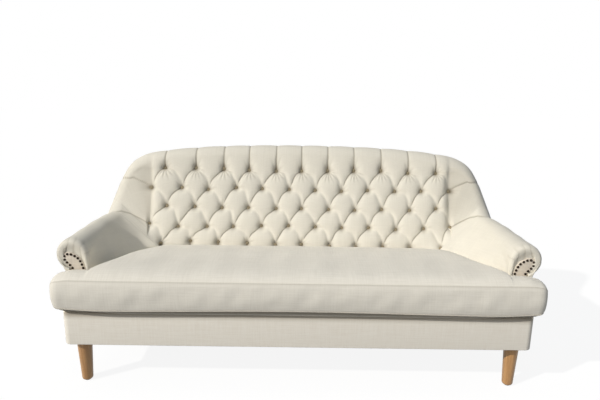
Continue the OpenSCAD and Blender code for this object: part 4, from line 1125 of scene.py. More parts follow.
def spin_profile(name, profile, steps):
    """A turned shape about Z from (radius, height) pairs, closed at the axis."""
    bpy.ops.object.select_all(action="DESELECT")
    radius, height = profile[0]
    bpy.ops.mesh.primitive_circle_add(vertices=steps, radius=radius, location=(0, 0, height))
    piece = bpy.context.object
    piece.name = name
    bpy.ops.object.mode_set(mode="EDIT")
    bpy.ops.mesh.select_all(action="SELECT")
    for (r0, z0), (r1, z1) in zip(profile, profile[1:]):
        bpy.ops.mesh.extrude_edges_move(TRANSFORM_OT_translate={"value": (0, 0, z1 - z0)})
        bpy.ops.transform.resize(value=(r1 / r0, r1 / r0, 1), center_override=(0, 0, z1))
    bpy.ops.mesh.merge(type="CENTER")
    bpy.ops.mesh.select_all(action="SELECT")
    bpy.ops.mesh.normals_make_consistent(inside=False)
    bpy.ops.object.mode_set(mode="OBJECT")
    bpy.ops.object.transform_apply(location=True, rotation=True, scale=True)
    piece.data.polygons.foreach_set("use_smooth", [True] * len(piece.data.polygons))
    return piece


def joined(name, pieces):
    """One object from several."""
    pick_only(*pieces)
    bpy.ops.object.join()
    pieces[0].name = name
    return pieces[0]


def copies(piece, places):
    """Copies of a piece, each with its own mesh, put in place by a matrix."""
    made = []
    for matrix in places:
        copy = piece.copy()
        copy.data = piece.data.copy()
        copy.data.transform(matrix)
        bpy.context.scene.collection.objects.link(copy)
        made.append(copy)
    bpy.data.objects.remove(piece)
    return made


def facing(place, normal):
    """A matrix that puts a piece at a place with its Z along a normal."""
    turn = Vector(normal).to_track_quat("Z", "Y").to_matrix().to_4x4()
    return Matrix.Translation(Vector(place)) @ turn


def surface_of(piece):
    """A search tree of a piece's faces."""
    mesh = piece.data
    return BVHTree.FromPolygons([v.co for v in mesh.vertices], [f.vertices for f in mesh.polygons])


button = spin_profile("button", BUTTON_SHAPE, BUTTON_SIDES)
cover_tree = surface_of(tufted_back)
button_places = []
for (a, b), (x, z) in zip(BUTTONS, DRIFT):
    t, q = lay_row(b + z, np.array([abs(a + x)]))
    side = np.array([-1.0 if a + x < 0 else 1.0, 1, 1])
    surface = skin(t, q, 0.0)[0] * side
    inwards = unit(skin(t, q, LOOK_IN)[0] * side - surface)
    hit = cover_tree.ray_cast(Vector(surface - LOOK_FROM * inwards), Vector(inwards))[0]
    button_places.append(facing(hit - Vector(BUTTON_SINK * inwards), -inwards))
buttons = joined("back_button_covers", copies(button, button_places))
set_weave_map(buttons, np.array([v.co[:2] for v in buttons.data.vertices]))
dress(buttons, button_shaded_linen, FRAME_BODY, "cream_linen", "back_buttons")
print("buttons made", len(button_places))

# %% [markdown]
# ## Arm covers
# Each arm has one cover: up its inner side, over the roll, and round the front edge on to the
# board, where it is pulled in under the nailed facing. The spare cloth round the front of the roll
# goes into a few short pleats. The sheet follows the same line as the back, then turns forwards
# with a small radius and runs in to the edge of the facing.

# %% Front of the arm
FRONT_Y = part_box("arm_front_pad_right")[0].y
EDGE_R = 0.015
BULGE = 0.0080
FACE_Y = FRONT_Y - BULGE
FACING_PATH = np.array([
    [-0.042, -0.200], [-0.042, -0.140], [-0.042, -0.090], [-0.0415, -0.0545], [-0.037, -0.038],
    [-0.033, -0.027], [-0.0265, -0.0155], [-0.016, -0.0055], [-0.002, 0.0025], [0.011, 0.0065],
    [0.0235, 0.0045], [0.0325, -0.005], [0.031, -0.021], [0.019, -0.0335], [0.0075, -0.046],
    [0.001, -0.060], [0.000, -0.090], [0.000, -0.140], [0.000, -0.200]])


def facing_outline(grow, count):
    """Points along the row of nails, moved out by grow, from the inner foot over the head."""
    line = spline(FACING_PATH, np.linspace(0, len(FACING_PATH) - 1, 400))
    way = unit(np.gradient(line, axis=0))
    line = line + grow * np.stack([-way[:, 1], way[:, 0]], 1) + [ROLL_X, ARM_ROLL_Z]
    run = run_lengths(line, 0)
    at = np.linspace(0, run[-1], count)
    return np.stack([np.interp(at, run, line[:, 0]), np.interp(at, run, line[:, 1])], 1)


FRONT_PLEATS = [2.03, 2.16, 2.29, 2.38, 2.71, 2.80]
FRONT_PLEAT = 0.0012
FRONT_OVER, FRONT_UNDER = 0.001, 0.0045
PLEAT_SCALE = 0.25
ARM_SLACK = 0.0012
KINK_TUCK, KINK_TUCK_RUN = 0.0022, 0.04
BOARD_PLEAT = 0.0016
PULLED_IN = 0.0062
ARM_WAVES = {"seed": 21, "count": 6, "shortest": 0.07, "longest": 0.25}
ARM_SHADES = {"kink": 0.4, "side": 0.25, "edge": 0.3, "board": 0.45}
EDGE_TURNS = np.linspace(0, math.pi / 2, 11)[1:]
BOARD_STEPS = np.linspace(0, 1, 15)[1:]
SIDES = (("left", -1), ("right", 1))
ARM_QS = np.concatenate([up_to(0, 1, 15), up_to(1, 2, 15), np.linspace(2, 3, 90)])
ARM_TS = np.concatenate([np.linspace(KINK - SEAM, 0.6, 76), np.linspace(0.6, 0.04, 24)[1:]])


def pleat_marks(q):
    marks = np.zeros_like(q)
    for number, place in enumerate(FRONT_PLEATS):
        away = (q - place) * PLEAT_SCALE * (1 if number % 2 else -1)
        marks = np.maximum(marks, lap(away, FRONT_OVER, FRONT_UNDER))
    return marks


marks = pleat_marks(ARM_QS)
wall_rows = fade_in(ARM_QS, 0.9, 0.3)
sheet, folds, behind = [], [], []
for t in ARM_TS:
    near_kink = np.exp(-(KINK - t) / KINK_TUCK_RUN) * fade_in(ARM_QS, 2.25, 0.2)
    near_front = fade_out(t, 0.3, 0.26)
    slack = ARM_SLACK * waves(np.full_like(ARM_QS, t * 0.1), ARM_QS * 0.2, **ARM_WAVES)
    slack = slack * wall_rows * fade_out(t, KINK, 0.5)
    inside = KINK_TUCK * near_kink + FRONT_PLEAT * marks * near_front + slack
    inside = inside + side_hollow(t, ARM_QS)
    sheet.append(skin(np.full_like(ARM_QS, t), ARM_QS, inside))
    # Painted shade at the kink and along the short front pleats, here and on the rows of the edge and the
    # board below.
    folds.append(np.maximum(ARM_SHADES["kink"] * near_kink, ARM_SHADES["side"] * marks * near_front))
    behind.append(skin(np.full_like(ARM_QS, t), ARM_QS, PAD))
edge_line = facing_outline(PULLED_IN, len(ARM_QS))
edge_start_y = float(sheet[-1][:, 1].mean())
for bend in EDGE_TURNS:
    ring = skin(np.zeros_like(ARM_QS), ARM_QS, EDGE_R * (1 - math.cos(bend)) + FRONT_PLEAT * marks)
    ring[:, 1] = edge_start_y - (edge_start_y - FACE_Y) * math.sin(bend)
    sheet.append(ring)
    folds.append(ARM_SHADES["edge"] * marks)
    behind.append(mix(behind[len(ARM_TS) - 1], ring, 0.5))
    behind[-1][:, 1] = ARM_FRONT_Y
start_ring = sheet[-1]
for f in BOARD_STEPS:
    ring = start_ring.copy()
    ring[:, 0] = mix(start_ring[:, 0], edge_line[:, 0], f)
    ring[:, 2] = mix(start_ring[:, 2], edge_line[:, 1], f)
    ring[:, 1] = FACE_Y + BULGE * fade_in(f, 0.1, 0.85) + BOARD_PLEAT * marks * fade_in(f, 0, 0.5)
    sheet.append(ring)
    folds.append(ARM_SHADES["board"] * marks)
    back_ring = ring.copy()
    back_ring[:, 1] = ARM_FRONT_Y
    behind.append(back_ring)
arm_outer, arm_inner, arm_painted_shade = np.array(sheet), np.array(behind), np.array(folds)
for name, sign in SIDES:
    flip = np.array([sign, 1, 1])
    cover = closed_shell("arm_cover_" + name, arm_outer * flip, arm_inner * flip, arm_painted_shade)
    dress(cover, cream_linen, FRAME_BODY, "cream_linen", "arm_pad_" + name, "arm_front_pad_" + name)
print("arm covers", len(cover.data.polygons), "faces each")

# %% [markdown]
# ## Nailed facings
# A narrow arch of card under cloth covers the front of each arm, and a row of round nails holds it.
# The card is cut as a flat shape, thickened forwards, and its rim is rounded. Its cloth is a little
# warmer than the rest. The nail is spun once and copied, evenly spaced along the arch.

# %% Facings
FACING_FRONT_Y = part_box("arm_facing_right")[0].y
FACING_EDGE = 0.0075
FACING_RIM = 0.003
RIM_STEPS = [(0.3, 0.6), (0.35, 0.25), (0.6, 0.12)]
NAIL_R = 0.0055
NAIL_PITCH = 0.0155
NAIL_SINK = 0.0002
NAIL_SHAPE = [(0.004, 0.0), (NAIL_R, 0.0), (0.0053, 0.0011), (0.0044, 0.0022), (0.0026, 0.0029),
              (0.0008, 0.0031)]
NAIL_SIDES = 16
OUTLINE_POINTS = 90


def box_map(piece):
    """A UV map in metres seen along whichever axis each face looks along."""
    layer = piece.data.uv_layers.new(name=WEAVE_MAP)
    for face in piece.data.polygons:
        axis = max(range(3), key=lambda k: abs(face.normal[k]))
        across, up = [(1, 2), (0, 2), (0, 1)][axis]
        for loop in face.loop_indices:
            place = piece.data.vertices[piece.data.loops[loop].vertex_index].co
            layer.data[loop].uv = (place[across], place[up])


def extruded_card(name, outline, y, depth, rim):
    """A flat card in the XZ plane, thickened towards the front, with a rounded front rim."""
    piece = new_piece(name, [(x, y, z) for x, z in outline], [list(range(len(outline)))])
    pick_only(piece)
    bpy.ops.object.mode_set(mode="EDIT")
    bpy.ops.mesh.select_mode(type="FACE")
    bpy.ops.mesh.select_all(action="SELECT")
    bpy.ops.mesh.extrude_region_move(TRANSFORM_OT_translate={"value": (0, rim - depth, 0)})
    for inset, forward in RIM_STEPS:
        bpy.ops.mesh.inset(thickness=rim * inset, depth=0)
        bpy.ops.transform.translate(value=(0, -rim * forward, 0))
    bpy.ops.mesh.select_all(action="SELECT")
    bpy.ops.mesh.normals_make_consistent(inside=False)
    bpy.ops.object.mode_set(mode="OBJECT")
    piece.data.polygons.foreach_set("use_smooth", [True] * len(piece.data.polygons))
    box_map(piece)
    return piece


for name, sign in SIDES:
    outline = facing_outline(FACING_EDGE, OUTLINE_POINTS) * [sign, 1]
    outline[:, 1] = np.maximum(outline[:, 1], DECK_Z)
    depth = FRONT_Y - FACING_FRONT_Y
    card = extruded_card("arm_facing_cover_" + name, outline, FRONT_Y, depth, FACING_RIM)
    dress(card, facing_linen, FRAME_BODY, "cream_linen", "arm_facing_" + name)
    dense = facing_outline(0, 2000)
    run = run_lengths(dense, 0)
    count = int(run[-1] / NAIL_PITCH)
    at = (run[-1] - count * NAIL_PITCH) / 2 + NAIL_PITCH * np.arange(count + 1)
    nail = spin_profile("nail", NAIL_SHAPE, NAIL_SIDES)
    places = [facing((sign * np.interp(d, run, dense[:, 0]), FACING_FRONT_Y - NAIL_SINK,
                      np.interp(d, run, dense[:, 1])), (0, -1, 0)) for d in at]
    nails = joined("facing_nail_heads_" + name, copies(nail, places))
    dress(nails, nail_bronze, FRAME_BODY, "nail_bronze", "facing_nails_" + name)
print("nails on each facing", count + 1)

# %% [markdown]
# ## Outside panels
# The outside of each arm, and the outside of the back, are plain panels of cloth over card. They run
# from the base up to the tail of the roll, and meet in an upright seam behind each arm. The panel is
# a thin shell on the same line as the solid, and its rim is eased, so the seam shows as a fine line.
# At the front the arm's panel runs on to the plane of the padded arm front.

# %% Outside panels
# Shares of the way out (x) and back (y) at the foot of the outside panels.
PANEL_FEET = np.array([[1, 0], [1, .16], [1, .32], [1, .49], [1, .63], [.998, .76], [.985, .88],
                       [.950, .96], [.893, .99], [.820, 1], [.710, 1], [.410, 1], [0, 1]])
PANEL_MIRROR = np.array([-1, 1])
PANEL_IN = 0.001
PANEL_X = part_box("base_band")[1].x - PANEL_IN
PANEL_REAR_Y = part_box("base_band")[1].y - PANEL_IN
PANEL_T = 0.006
PANEL_SEAM = 5.5
TAIL_GAP = math.radians(5)
PANEL_SHORT = 0.025
PANEL_FORWARD = ARM_FRONT_Y - FRONT_Y - 0.0005
PANEL_FORWARD_RUN = 0.6
PANEL_SLACK = 0.0012
RIM = 0.008
RIM_DROP = 0.0028


def panel_grid(t, f):
    """Points of an outside panel at t, a share f of the way up, and the direction outwards."""
    share = spline(PANEL_FEET, t, PANEL_MIRROR)
    foot = vector(share[..., 0] * PANEL_X, mix(ARM_FRONT_Y, PANEL_REAR_Y, share[..., 1]), DECK_Z)
    section = section_at(t, np.full_like(t, PANEL_T))
    top = mix(on_roll(section, section[5] + TAIL_GAP), foot, PANEL_SHORT)
    d = spline(PANEL_FEET, t + STEP, PANEL_MIRROR) - spline(PANEL_FEET, t - STEP, PANEL_MIRROR)
    way = unit(vector(d[..., 1] * (PANEL_REAR_Y - ARM_FRONT_Y), -d[..., 0] * PANEL_X, 0))
    points = mix(foot, top, f[..., None])
    points[..., 1] -= PANEL_FORWARD * smooth(1 - t / PANEL_FORWARD_RUN)
    return points, way


def panel(ts, both_sides=False):
    """The outer and the inner grid of an outside panel."""
    fs = np.concatenate([[0, .01, .03, .06], np.linspace(.1, .9, 17), [.94, .97, .99, 1]])
    t, f = np.meshgrid(ts, fs, indexing="ij")
    points, way = panel_grid(t, f)
    run = run_lengths(points[:, 0], 0)
    height = np.linalg.norm(points[:, -1] - points[:, 0], axis=-1)[:, None]
    far = np.inf if both_sides else run[-1]
    to_rim = np.minimum(np.minimum(f, 1 - f) * height, np.minimum(run, far - run)[:, None])
    ease = rounded(to_rim / RIM)
    slack = PANEL_SLACK * np.sin(9 * run[:, None] + 4 * f) * np.sin(np.pi * f)
    outer = points + way * (RIM_DROP * ease - RIM_DROP + slack * ease)[..., None]
    inner = points - way * PANEL_T
    if both_sides:
        outer = np.concatenate([outer, outer[-2::-1] * MIRRORED])
        inner = np.concatenate([inner, inner[-2::-1] * MIRRORED])
    return outer, inner


arm_ts = np.concatenate([[0, .02, .05], np.linspace(.1, 5.3, 60), [5.4, 5.46, PANEL_SEAM - SEAM]])
outer, inner = panel(arm_ts)
for name, sign in SIDES:
    cover = closed_shell("outer_arm_cover_" + name, outer * [sign, 1, 1], inner * [sign, 1, 1])
    dress(cover, cream_linen, FRAME_BODY, "cream_linen", "outer_arm_" + name)
back_ts = np.concatenate([[PANEL_SEAM + SEAM, 5.54, 5.6], np.linspace(5.7, LAST, 80)])
outer, inner = panel(back_ts, both_sides=True)
cover = closed_shell("outer_back_cover", outer, inner)
dress(cover, cream_linen, FRAME_BODY, "cream_linen", "outer_back")
print("outside back", len(cover.data.polygons), "faces")

# %% [markdown]
# ## Base band
# Cloth is pulled tight round the base frame, with soft upright corners and a rounded lower edge. A
# block of the right size is bevelled at its upright edges, opened at the top and bottom, given its
# thickness inwards, and its rims are rounded. At both rear corners, where the foot of the panels is
# rounder than the band, a flat piece of cloth turned in over the rails covers the wood. The front's
# upper edge is cut into a few rows, which carry the deep shade under the cushion.

# %% Base band
BAND_LOW, BAND_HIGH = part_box("base_band")
BAND_CORNER = 0.028
BAND_T = 0.008
BAND_RIM = 0.0032
BAND_SOFT_ANGLE = math.radians(50)
BAND_SMOOTH_ANGLE = math.radians(40)
TURN_IN = Vector((0.18, 0.16))
TURN_IN_DROPS = (0.0005, 0.0035)
SHADE = 0.80
SHADE_DEPTH = 0.006
SHADE_ROWS = [0.006, 0.012, 0.020, 0.030]


def apply_modifier(piece, kind, **settings):
    """Adds a modifier to a piece and applies it."""
    pick_only(piece)
    modifier = piece.modifiers.new(kind.lower(), kind)
    for key, value in settings.items():
        setattr(modifier, key, value)
    bpy.ops.object.modifier_apply(modifier=modifier.name)


def corner_turn_in(sign):
    """The flat piece of cloth turned in over the rails at a rear corner."""
    inset, radius = BAND_T / 2, BAND_CORNER - BAND_T / 2
    x, y = BAND_HIGH.x - inset, BAND_HIGH.y - inset
    turns = np.linspace(0, math.pi / 2, 9)
    outline = [(x - TURN_IN.x, y - TURN_IN.y), (x, y - TURN_IN.y)]
    outline += [(x - radius + radius * math.cos(a), y - radius + radius * math.sin(a)) for a in turns]
    outline += [(x - TURN_IN.x, y)]
    count = len(outline)
    points = [(sign * px, py, BAND_HIGH.z - drop) for drop in TURN_IN_DROPS for px, py in outline]
    faces = [list(range(count)), list(range(2 * count - 1, count - 1, -1))]
    faces += [[k, k + count, (k + 1) % count + count, (k + 1) % count] for k in range(count)]
    if sign < 0:
        faces = [face[::-1] for face in faces]
    return new_piece("corner", points, faces)


def pick_upright_edges(work):
    """Selects the four upright edges of a block, and no other part of it."""
    for item in list(work.verts) + list(work.faces):
        item.select_set(False)
    for edge in work.edges:
        a, b = edge.verts
        edge.select_set(abs(a.co.z - b.co.z) > 0.01)


def open_ends(work):
    """Takes the level faces away, at the top and at the bottom."""
    level = [face for face in work.faces if abs(face.normal.z) > 0.9]
    bmesh.ops.delete(work, geom=level, context="FACES")


def cut_shade_rows(work):
    """Cuts the band level a few times near its upper edge, so that the shade has points to sit on."""
    for drop in SHADE_ROWS:
        everything = list(work.verts) + list(work.edges) + list(work.faces)
        height = BAND_HIGH.z - drop
        bmesh.ops.bisect_plane(work, geom=everything, plane_co=(0, 0, height), plane_no=(0, 0, 1))


bpy.ops.object.select_all(action="DESELECT")
middle = (BAND_LOW + BAND_HIGH) / 2
bpy.ops.mesh.primitive_cube_add(size=1, location=middle, scale=BAND_HIGH - BAND_LOW)
band = bpy.context.object
band.name = "base_band_cover"
bpy.ops.object.transform_apply(location=True, rotation=True, scale=True)
rework(band, pick_upright_edges)
bpy.ops.object.mode_set(mode="EDIT")
bpy.ops.mesh.select_mode(type="EDGE")
bpy.ops.mesh.bevel(offset=BAND_CORNER, segments=10)
bpy.ops.object.mode_set(mode="OBJECT")
rework(band, open_ends)
apply_modifier(band, "SOLIDIFY", thickness=BAND_T, offset=-1)
apply_modifier(band, "BEVEL", width=BAND_RIM, segments=4, limit_method="ANGLE",
               angle_limit=BAND_SOFT_ANGLE)
rework(band, cut_shade_rows)
band = joined("base_band_cover", [band, corner_turn_in(-1), corner_turn_in(1)])
bpy.ops.object.shade_smooth_by_angle(angle=BAND_SMOOTH_ANGLE)
box_map(band)
# Painted shadow: the cushion's shadow on the band's front, darkest at its upper edge.
places = np.array([v.co for v in band.data.vertices])
on_front = places[:, 1] < BAND_LOW.y + SHADE_DEPTH
set_painted_shade(band, SHADE * smooth(1 - (BAND_HIGH.z - places[:, 2]) / SHADE_ROWS[-1]) * on_front)
dress(band, base_linen, FRAME_BODY, "base_linen", "base_band")
print("base band", len(band.data.polygons), "faces, z from", min(v.co.z for v in band.data.vertices))

# %% [markdown]
# ## Legs
# Each leg is turned oak, thicker at the top, with an eased edge at the foot. One is spun from half of
# its outline and copied to the four places of the solids.

# %% Legs
LEG_NAMES = ["leg_front_left", "leg_front_right", "leg_rear_left", "leg_rear_right"]
LEG_TOP_R = 0.031
LEG_FOOT_R = 0.022
LEG_EASED_FOOT = [(0.0150, 0), (0.0182, 0.0007), (0.0206, 0.0026), (0.0218, 0.0052)]
LEG_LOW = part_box("leg_front_left")[0].z
LEG_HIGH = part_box("leg_front_left")[1].z
LEG_HEIGHTS = [LEG_LOW + 0.009, *np.linspace(LEG_LOW + 0.03, LEG_HIGH - 0.002, 6)]
LEG_SIDES = 48
LEG_SMOOTH_ANGLE = math.radians(45)


def leg_r(z):
    return mix(LEG_FOOT_R, LEG_TOP_R, (z - LEG_LOW) / (LEG_HIGH - LEG_LOW))


leg_profile = [(r, LEG_LOW + z) for r, z in LEG_EASED_FOOT]
leg_profile += [(leg_r(z), z) for z in LEG_HEIGHTS]
leg_profile += [(LEG_TOP_R - 0.001, LEG_HIGH)]
for name in LEG_NAMES:
    low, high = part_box(name)
    leg = spin_profile("turned_" + name, leg_profile, LEG_SIDES)
    leg.data.transform(Matrix.Translation(((low.x + high.x) / 2, (low.y + high.y) / 2, 0)))
    bpy.ops.object.shade_smooth_by_angle(angle=LEG_SMOOTH_ANGLE)
    dress(leg, leg_oak, FRAME_BODY, "leg_wood", name)
print("legs", len(LEG_NAMES))

# %% [markdown]
# ## Seat cushion
# One loose cushion fills the seat and reaches round the front of both arms. It is a box of cloth over
# foam: a front band between two seams, and a top that swells behind the upper one. The lower seam
# rises a little at the middle and at both ends. The shape is worked out from its sections, and soft
# waves stand for the slack of the cloth. The underside carries the deep shade of the joint below.

# %% Sizes of the cushion
CUSHION_LOW, CUSHION_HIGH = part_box("cushion_cover")
BELLY = 0.008
SEAM_X = CUSHION_HIGH.x - BELLY
PROUD = 0.007
SEAM_Y = CUSHION_LOW.y - PROUD + BELLY
CUSHION_GAP = 0.006
EAR_REAR = FACING_FRONT_Y - 0.003 - CUSHION_GAP
EAR_R = 0.030
FLAT_X = 0.580
REAR_CORNER = 0.045
LOW_SEAM_Z = DECK_Z + 0.022
HIGH_SEAM_Z = DECK_Z + 0.146
UNDER_Z = CUSHION_LOW.z
REAR_DROP = 0.022
CROWN = 0.032
RECEDE = 0.006
BLUNT = 0.026
BLUNT_RUN = 0.095
SEAM_STEP = 0.0018
RECEDE_FROM, RECEDE_RUN = 0.72, 0.25
FRONT_RIPPLE = 0.0014
RIPPLE_WAVES = {"seed": 3, "count": 6, "shortest": 0.08, "longest": 0.3}
TOP_SLACK = 0.0022
SLACK_WAVES = {"seed": 11, "count": 7, "shortest": 0.13, "longest": 0.42}
SLACK_RUN = 0.03
SWELL_FRONT, SWELL_REAR, SWELL_END = 0.030, 0.040, 0.035
NOTCH_ROUND = 0.016
NOTCH_DROP_RUN = 0.02
EAR_BELLY = 0.004
UNDER_REAR, UNDER_FRONT, UNDER_EASE = (0.012, 0.025), (0.040, 0.018), 0.003
END_ROUND = 0.030
END_BELLY = 0.003
END_LIFT, END_LIFT_FROM, END_LIFT_RUN = 0.006, 0.80, 0.18
MIDDLE_LIFT, MIDDLE_LIFT_REACH = 0.010, 0.85
UNDER_SHADE = 0.80
UPPER_SEAM_SHADE = 0.30
NOTCH_X = float(wall_at(np.array(0.0), -CUSHION_GAP)[0])

side_t = np.linspace(LAST, 0, 57)
LOW_LINE = wall_at(side_t, -CUSHION_GAP)
HIGH_LINE = lean_at(side_t, -CUSHION_GAP)


def rear_y(x, z):
    """Where the rear face of the cushion lies, beside the arms and before the back."""
    x = np.maximum(x, FLAT_X)
    low = np.interp(x, LOW_LINE[:, 0], LOW_LINE[:, 1])
    high = np.interp(x, HIGH_LINE[:, 0], HIGH_LINE[:, 1])
    return mix(low, high, (z - DECK_Z) / SEAT_RISE)


print("cushion seam at", round(SEAM_X, 3), "notch at", round(NOTCH_X, 3))

# %% Cushion sections
FRONT_ROWS, EAR_ROWS, SEAT_ROWS, REAR_ROWS, UNDER_ROWS = 22, 18, 40, 14, 22


def corner_in(x):
    d = np.clip(x - (SEAM_X - EAR_R), 0, EAR_R)
    return EAR_R - math.sqrt(max(EAR_R ** 2 - d ** 2, 0))


def seam_front(x):
    """Where the lower front seam lies: rounded at the corners, and a little back at the ends."""
    return SEAM_Y + corner_in(x) + RECEDE * fade_in(x, RECEDE_FROM, RECEDE_RUN)


def rise(d, length):
    return 1 - np.exp(-np.maximum(d, 0) / length)


def top_z(x, y, front, rear, ear):
    """The height of the cushion's top."""
    depth = np.clip((y - front) / (rear - front), 0, 1)
    swell = rise(y - front, SWELL_FRONT) * rise(rear - y, SWELL_REAR)
    swell = swell * rise(SEAM_X - x + 0.004, SWELL_END)
    base = HIGH_SEAM_Z if ear else HIGH_SEAM_Z - REAR_DROP * fade_in(depth, 0.5, 0.5)
    return base + CROWN * swell - BLUNT * (1 - rounded((SEAM_X - x) / BLUNT_RUN))


def low_lift(x):
    """How much the lower seam rises, towards the ends and at the middle."""
    at_end = END_LIFT * fade_in(x, END_LIFT_FROM, END_LIFT_RUN)
    return at_end + MIDDLE_LIFT * (1 - fade_in(x, 0, MIDDLE_LIFT_REACH))


def cushion_ring(x, ear, sign):
    """One section of the cushion at x, from the low front seam up, over, down and under."""
    front = seam_front(x)
    ear_rear = EAR_REAR - REAR_CORNER * (1 - rounded((SEAM_X - x) / REAR_CORNER))
    rear_high = ear_rear if ear else float(rear_y(x, HIGH_SEAM_Z - REAR_DROP))
    rear_low = ear_rear if ear else float(rear_y(x, LOW_SEAM_Z))
    top_rear = ear_rear if ear else rear_high
    low = LOW_SEAM_Z + low_lift(x)
    s = up_to(0, 1, FRONT_ROWS)
    high = float(top_z(x, front, front, top_rear, ear))
    belly = np.sin(np.pi * s) ** 0.7
    ripple = FRONT_RIPPLE * waves(sign * x, s * 0.12, **RIPPLE_WAVES) * np.sin(np.pi * s)
    face_y = front - BELLY * belly + ripple + SEAM_STEP * fade_in(s, 0.86, 0.14)
    face_z = mix(low, high, s)
    split = min(EAR_REAR, top_rear)
    near_y = mix(front, split, up_to(0, 1, EAR_ROWS) ** 1.25)
    near_z = top_z(x, near_y, front, top_rear, ear)
    if ear:
        f = up_to(0, 1, SEAT_ROWS + REAR_ROWS)
        rest_y = top_rear + EAR_BELLY * np.sin(np.pi * f)
        rest_z = mix(top_z(x, top_rear, front, top_rear, ear), low, f)
    else:
        f = 1 - (1 - up_to(0, 1, SEAT_ROWS)) ** 1.2
        seat_y = mix(split, top_rear, f)
        drop = 1 - rounded((NOTCH_X - x) / NOTCH_ROUND)
        down = drop * fade_in(seat_y, split, NOTCH_DROP_RUN)
        seat_z = mix(top_z(x, seat_y, front, top_rear, ear), low, down)
        g = up_to(0, 1, REAR_ROWS)
        rest_y = np.concatenate([seat_y, mix(top_rear, rear_low, g)])
        rest_z = np.concatenate([seat_z, mix(seat_z[-1] - 0.0005, low, g)])
    slack = TOP_SLACK * waves(sign * x, near_y, **SLACK_WAVES)
    near_z = near_z + slack * rise(near_y - front, SLACK_RUN)
    if not ear:
        slack = TOP_SLACK * waves(sign * x, rest_y[:SEAT_ROWS], **SLACK_WAVES)
        rest_z[:SEAT_ROWS] += slack * rise(top_rear - rest_y[:SEAT_ROWS], SLACK_RUN) * (1 - drop)
    under = np.array([[rear_low, low], [rear_low - UNDER_REAR[0], UNDER_Z + UNDER_EASE],
                      [rear_low - UNDER_REAR[1], UNDER_Z], [mix(rear_low, front, 0.4), UNDER_Z],
                      [front + UNDER_FRONT[0], UNDER_Z],
                      [front + UNDER_FRONT[1], mix(UNDER_Z, low, 0.5)], [front, low]])
    under = spline(under, up_to(0, len(under) - 1, UNDER_ROWS))
    y = np.concatenate([face_y, near_y, rest_y, under[:, 0]])
    z = np.concatenate([face_z, near_z, rest_z, under[:, 1]])
    return np.stack([np.full_like(y, x), y, z], 1)


before_notch = NOTCH_X - np.array([.016, .012, .008, .005, .0025, .001])
main_x = np.concatenate([np.linspace(0, NOTCH_X - 0.022, 92), before_notch])
ear_x = np.concatenate([NOTCH_X + np.array([.001, .006]),
                        np.linspace(NOTCH_X + 0.012, SEAM_X - EAR_R, 12),
                        SEAM_X - EAR_R + EAR_R * np.sin(np.linspace(0, math.pi / 2, 12))[1:]])
ear_x = ear_x[ear_x < SEAM_X - END_ROUND]
END_X = float(ear_x[-1])
END_BENDS = np.radians([12, 24, 36, 47, 57, 66, 74, 81, 86, 88.8])


def half_cushion(sign):
    """The sections of one half, from the middle, and the rounded end that closes it."""
    rings = [cushion_ring(x, False, sign) for x in main_x]
    rings += [cushion_ring(x, True, sign) for x in ear_x]
    last = rings[-1]
    middle = np.array([0, (last[:, 1].min() + last[:, 1].max()) / 2, (LOW_SEAM_Z + HIGH_SEAM_Z) / 2])
    for bend in END_BENDS:
        ring = last.copy()
        ring[:, 1:] = middle[1:] + (last[:, 1:] - middle[1:]) * math.cos(bend) ** 0.6
        ring[:, 0] = END_X + (SEAM_X + END_BELLY - END_X) * math.sin(bend)
        rings.append(ring)
    return np.array(rings) * [sign, 1, 1]


CUSHION_BODY = "seat_cushion"
rings = np.concatenate([half_cushion(-1)[:0:-1], half_cushion(1)])
# Painted shade along the upper front seam and on the underside, for the shade of the joint below.
cushion_painted_shade = np.zeros(rings.shape[:2])
cushion_painted_shade[:, FRONT_ROWS] = UPPER_SEAM_SHADE
cushion_painted_shade[:, -UNDER_ROWS:] = UNDER_SHADE * smooth(up_to(-4, 2, UNDER_ROWS))
cushion = closed_tube("seat_cushion_cover", rings, cushion_painted_shade, along_row=FRONT_ROWS // 2)
dress(cushion, cushion_linen, CUSHION_BODY, "cushion_linen", "cushion_cover")
print("cushion", len(cushion.data.polygons), "faces")

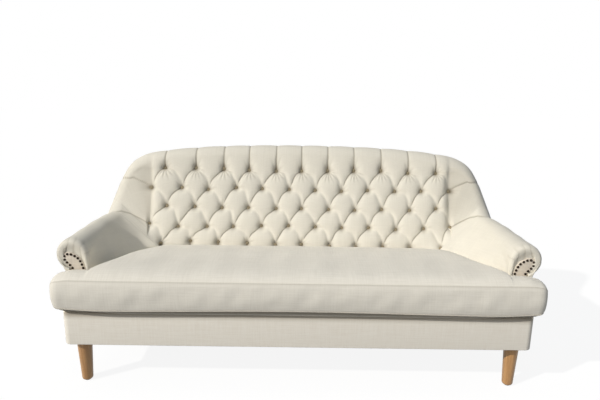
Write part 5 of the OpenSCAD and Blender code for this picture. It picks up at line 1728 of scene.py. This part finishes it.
# %% [markdown]
# ## Welt
# A thin cord of linen is sewn into the lower seam, along the front and round both ends. Its linen is
# painted darker than the cushion's, as painted shade. It is a tube along a path that follows the
# seam, and wavers a little as sewn cord does.

# %% Welt
WELT_R = 0.0025
WELT_OUT = 0.0012
WELT_DOWN = 0.0026
WELT_WAVER = 0.0006
WELT_WAVES = {"seed": 5, "count": 4, "shortest": 0.05, "longest": 0.2}
WELT_PROUD = 0.15 * WELT_R
FRONT_POINTS, END_POINTS = 160, 13


def cord_tube(name, path, radius, sides):
    """A round cord along a path of points, as a closed mesh."""
    way = unit(np.gradient(path, axis=0))
    side = unit(np.cross(way, [0, 0, 1.0]))
    up = np.cross(side, way)
    angles = np.linspace(0, 2 * math.pi, sides, endpoint=False)
    arm = np.cos(angles)[None, :, None] * side[:, None] + np.sin(angles)[None, :, None] * up[:, None]
    return closed_tube(name, path[:, None] + radius * arm)


front_x = np.linspace(0, SEAM_X - EAR_R, FRONT_POINTS)
bend = np.linspace(0, math.pi / 2, END_POINTS + 1)[1:]
path_x = np.concatenate([front_x, SEAM_X - EAR_R + EAR_R * np.sin(bend)])
path_y = np.array([seam_front(x) for x in path_x])
end_y = np.linspace(path_y[-1], EAR_REAR - EAR_R, END_POINTS + 1)[1:]
path_x = np.concatenate([path_x, np.full(END_POINTS, SEAM_X + WELT_OUT)])
path_y = np.concatenate([path_y, end_y])
path_z = LOW_SEAM_Z - WELT_DOWN + low_lift(path_x)
half_path = np.stack([path_x, path_y - WELT_OUT, path_z], 1)
path = np.concatenate([half_path[:0:-1] * MIRRORED, half_path])
path[:, 2] += WELT_WAVER * waves(path[:, 0], path[:, 1], **WELT_WAVES)
cushion_tree = surface_of(cushion)
for number, place in enumerate(path):
    near, normal = cushion_tree.find_nearest(Vector(place))[:2]
    path[number] = near + WELT_PROUD * normal
welt = cord_tube("cushion_welt_cord", path, WELT_R, 12)
dress(welt, welt_shaded_linen, CUSHION_BODY, "welt_cloth", "cushion_welt")
print("welt", len(path), "points")
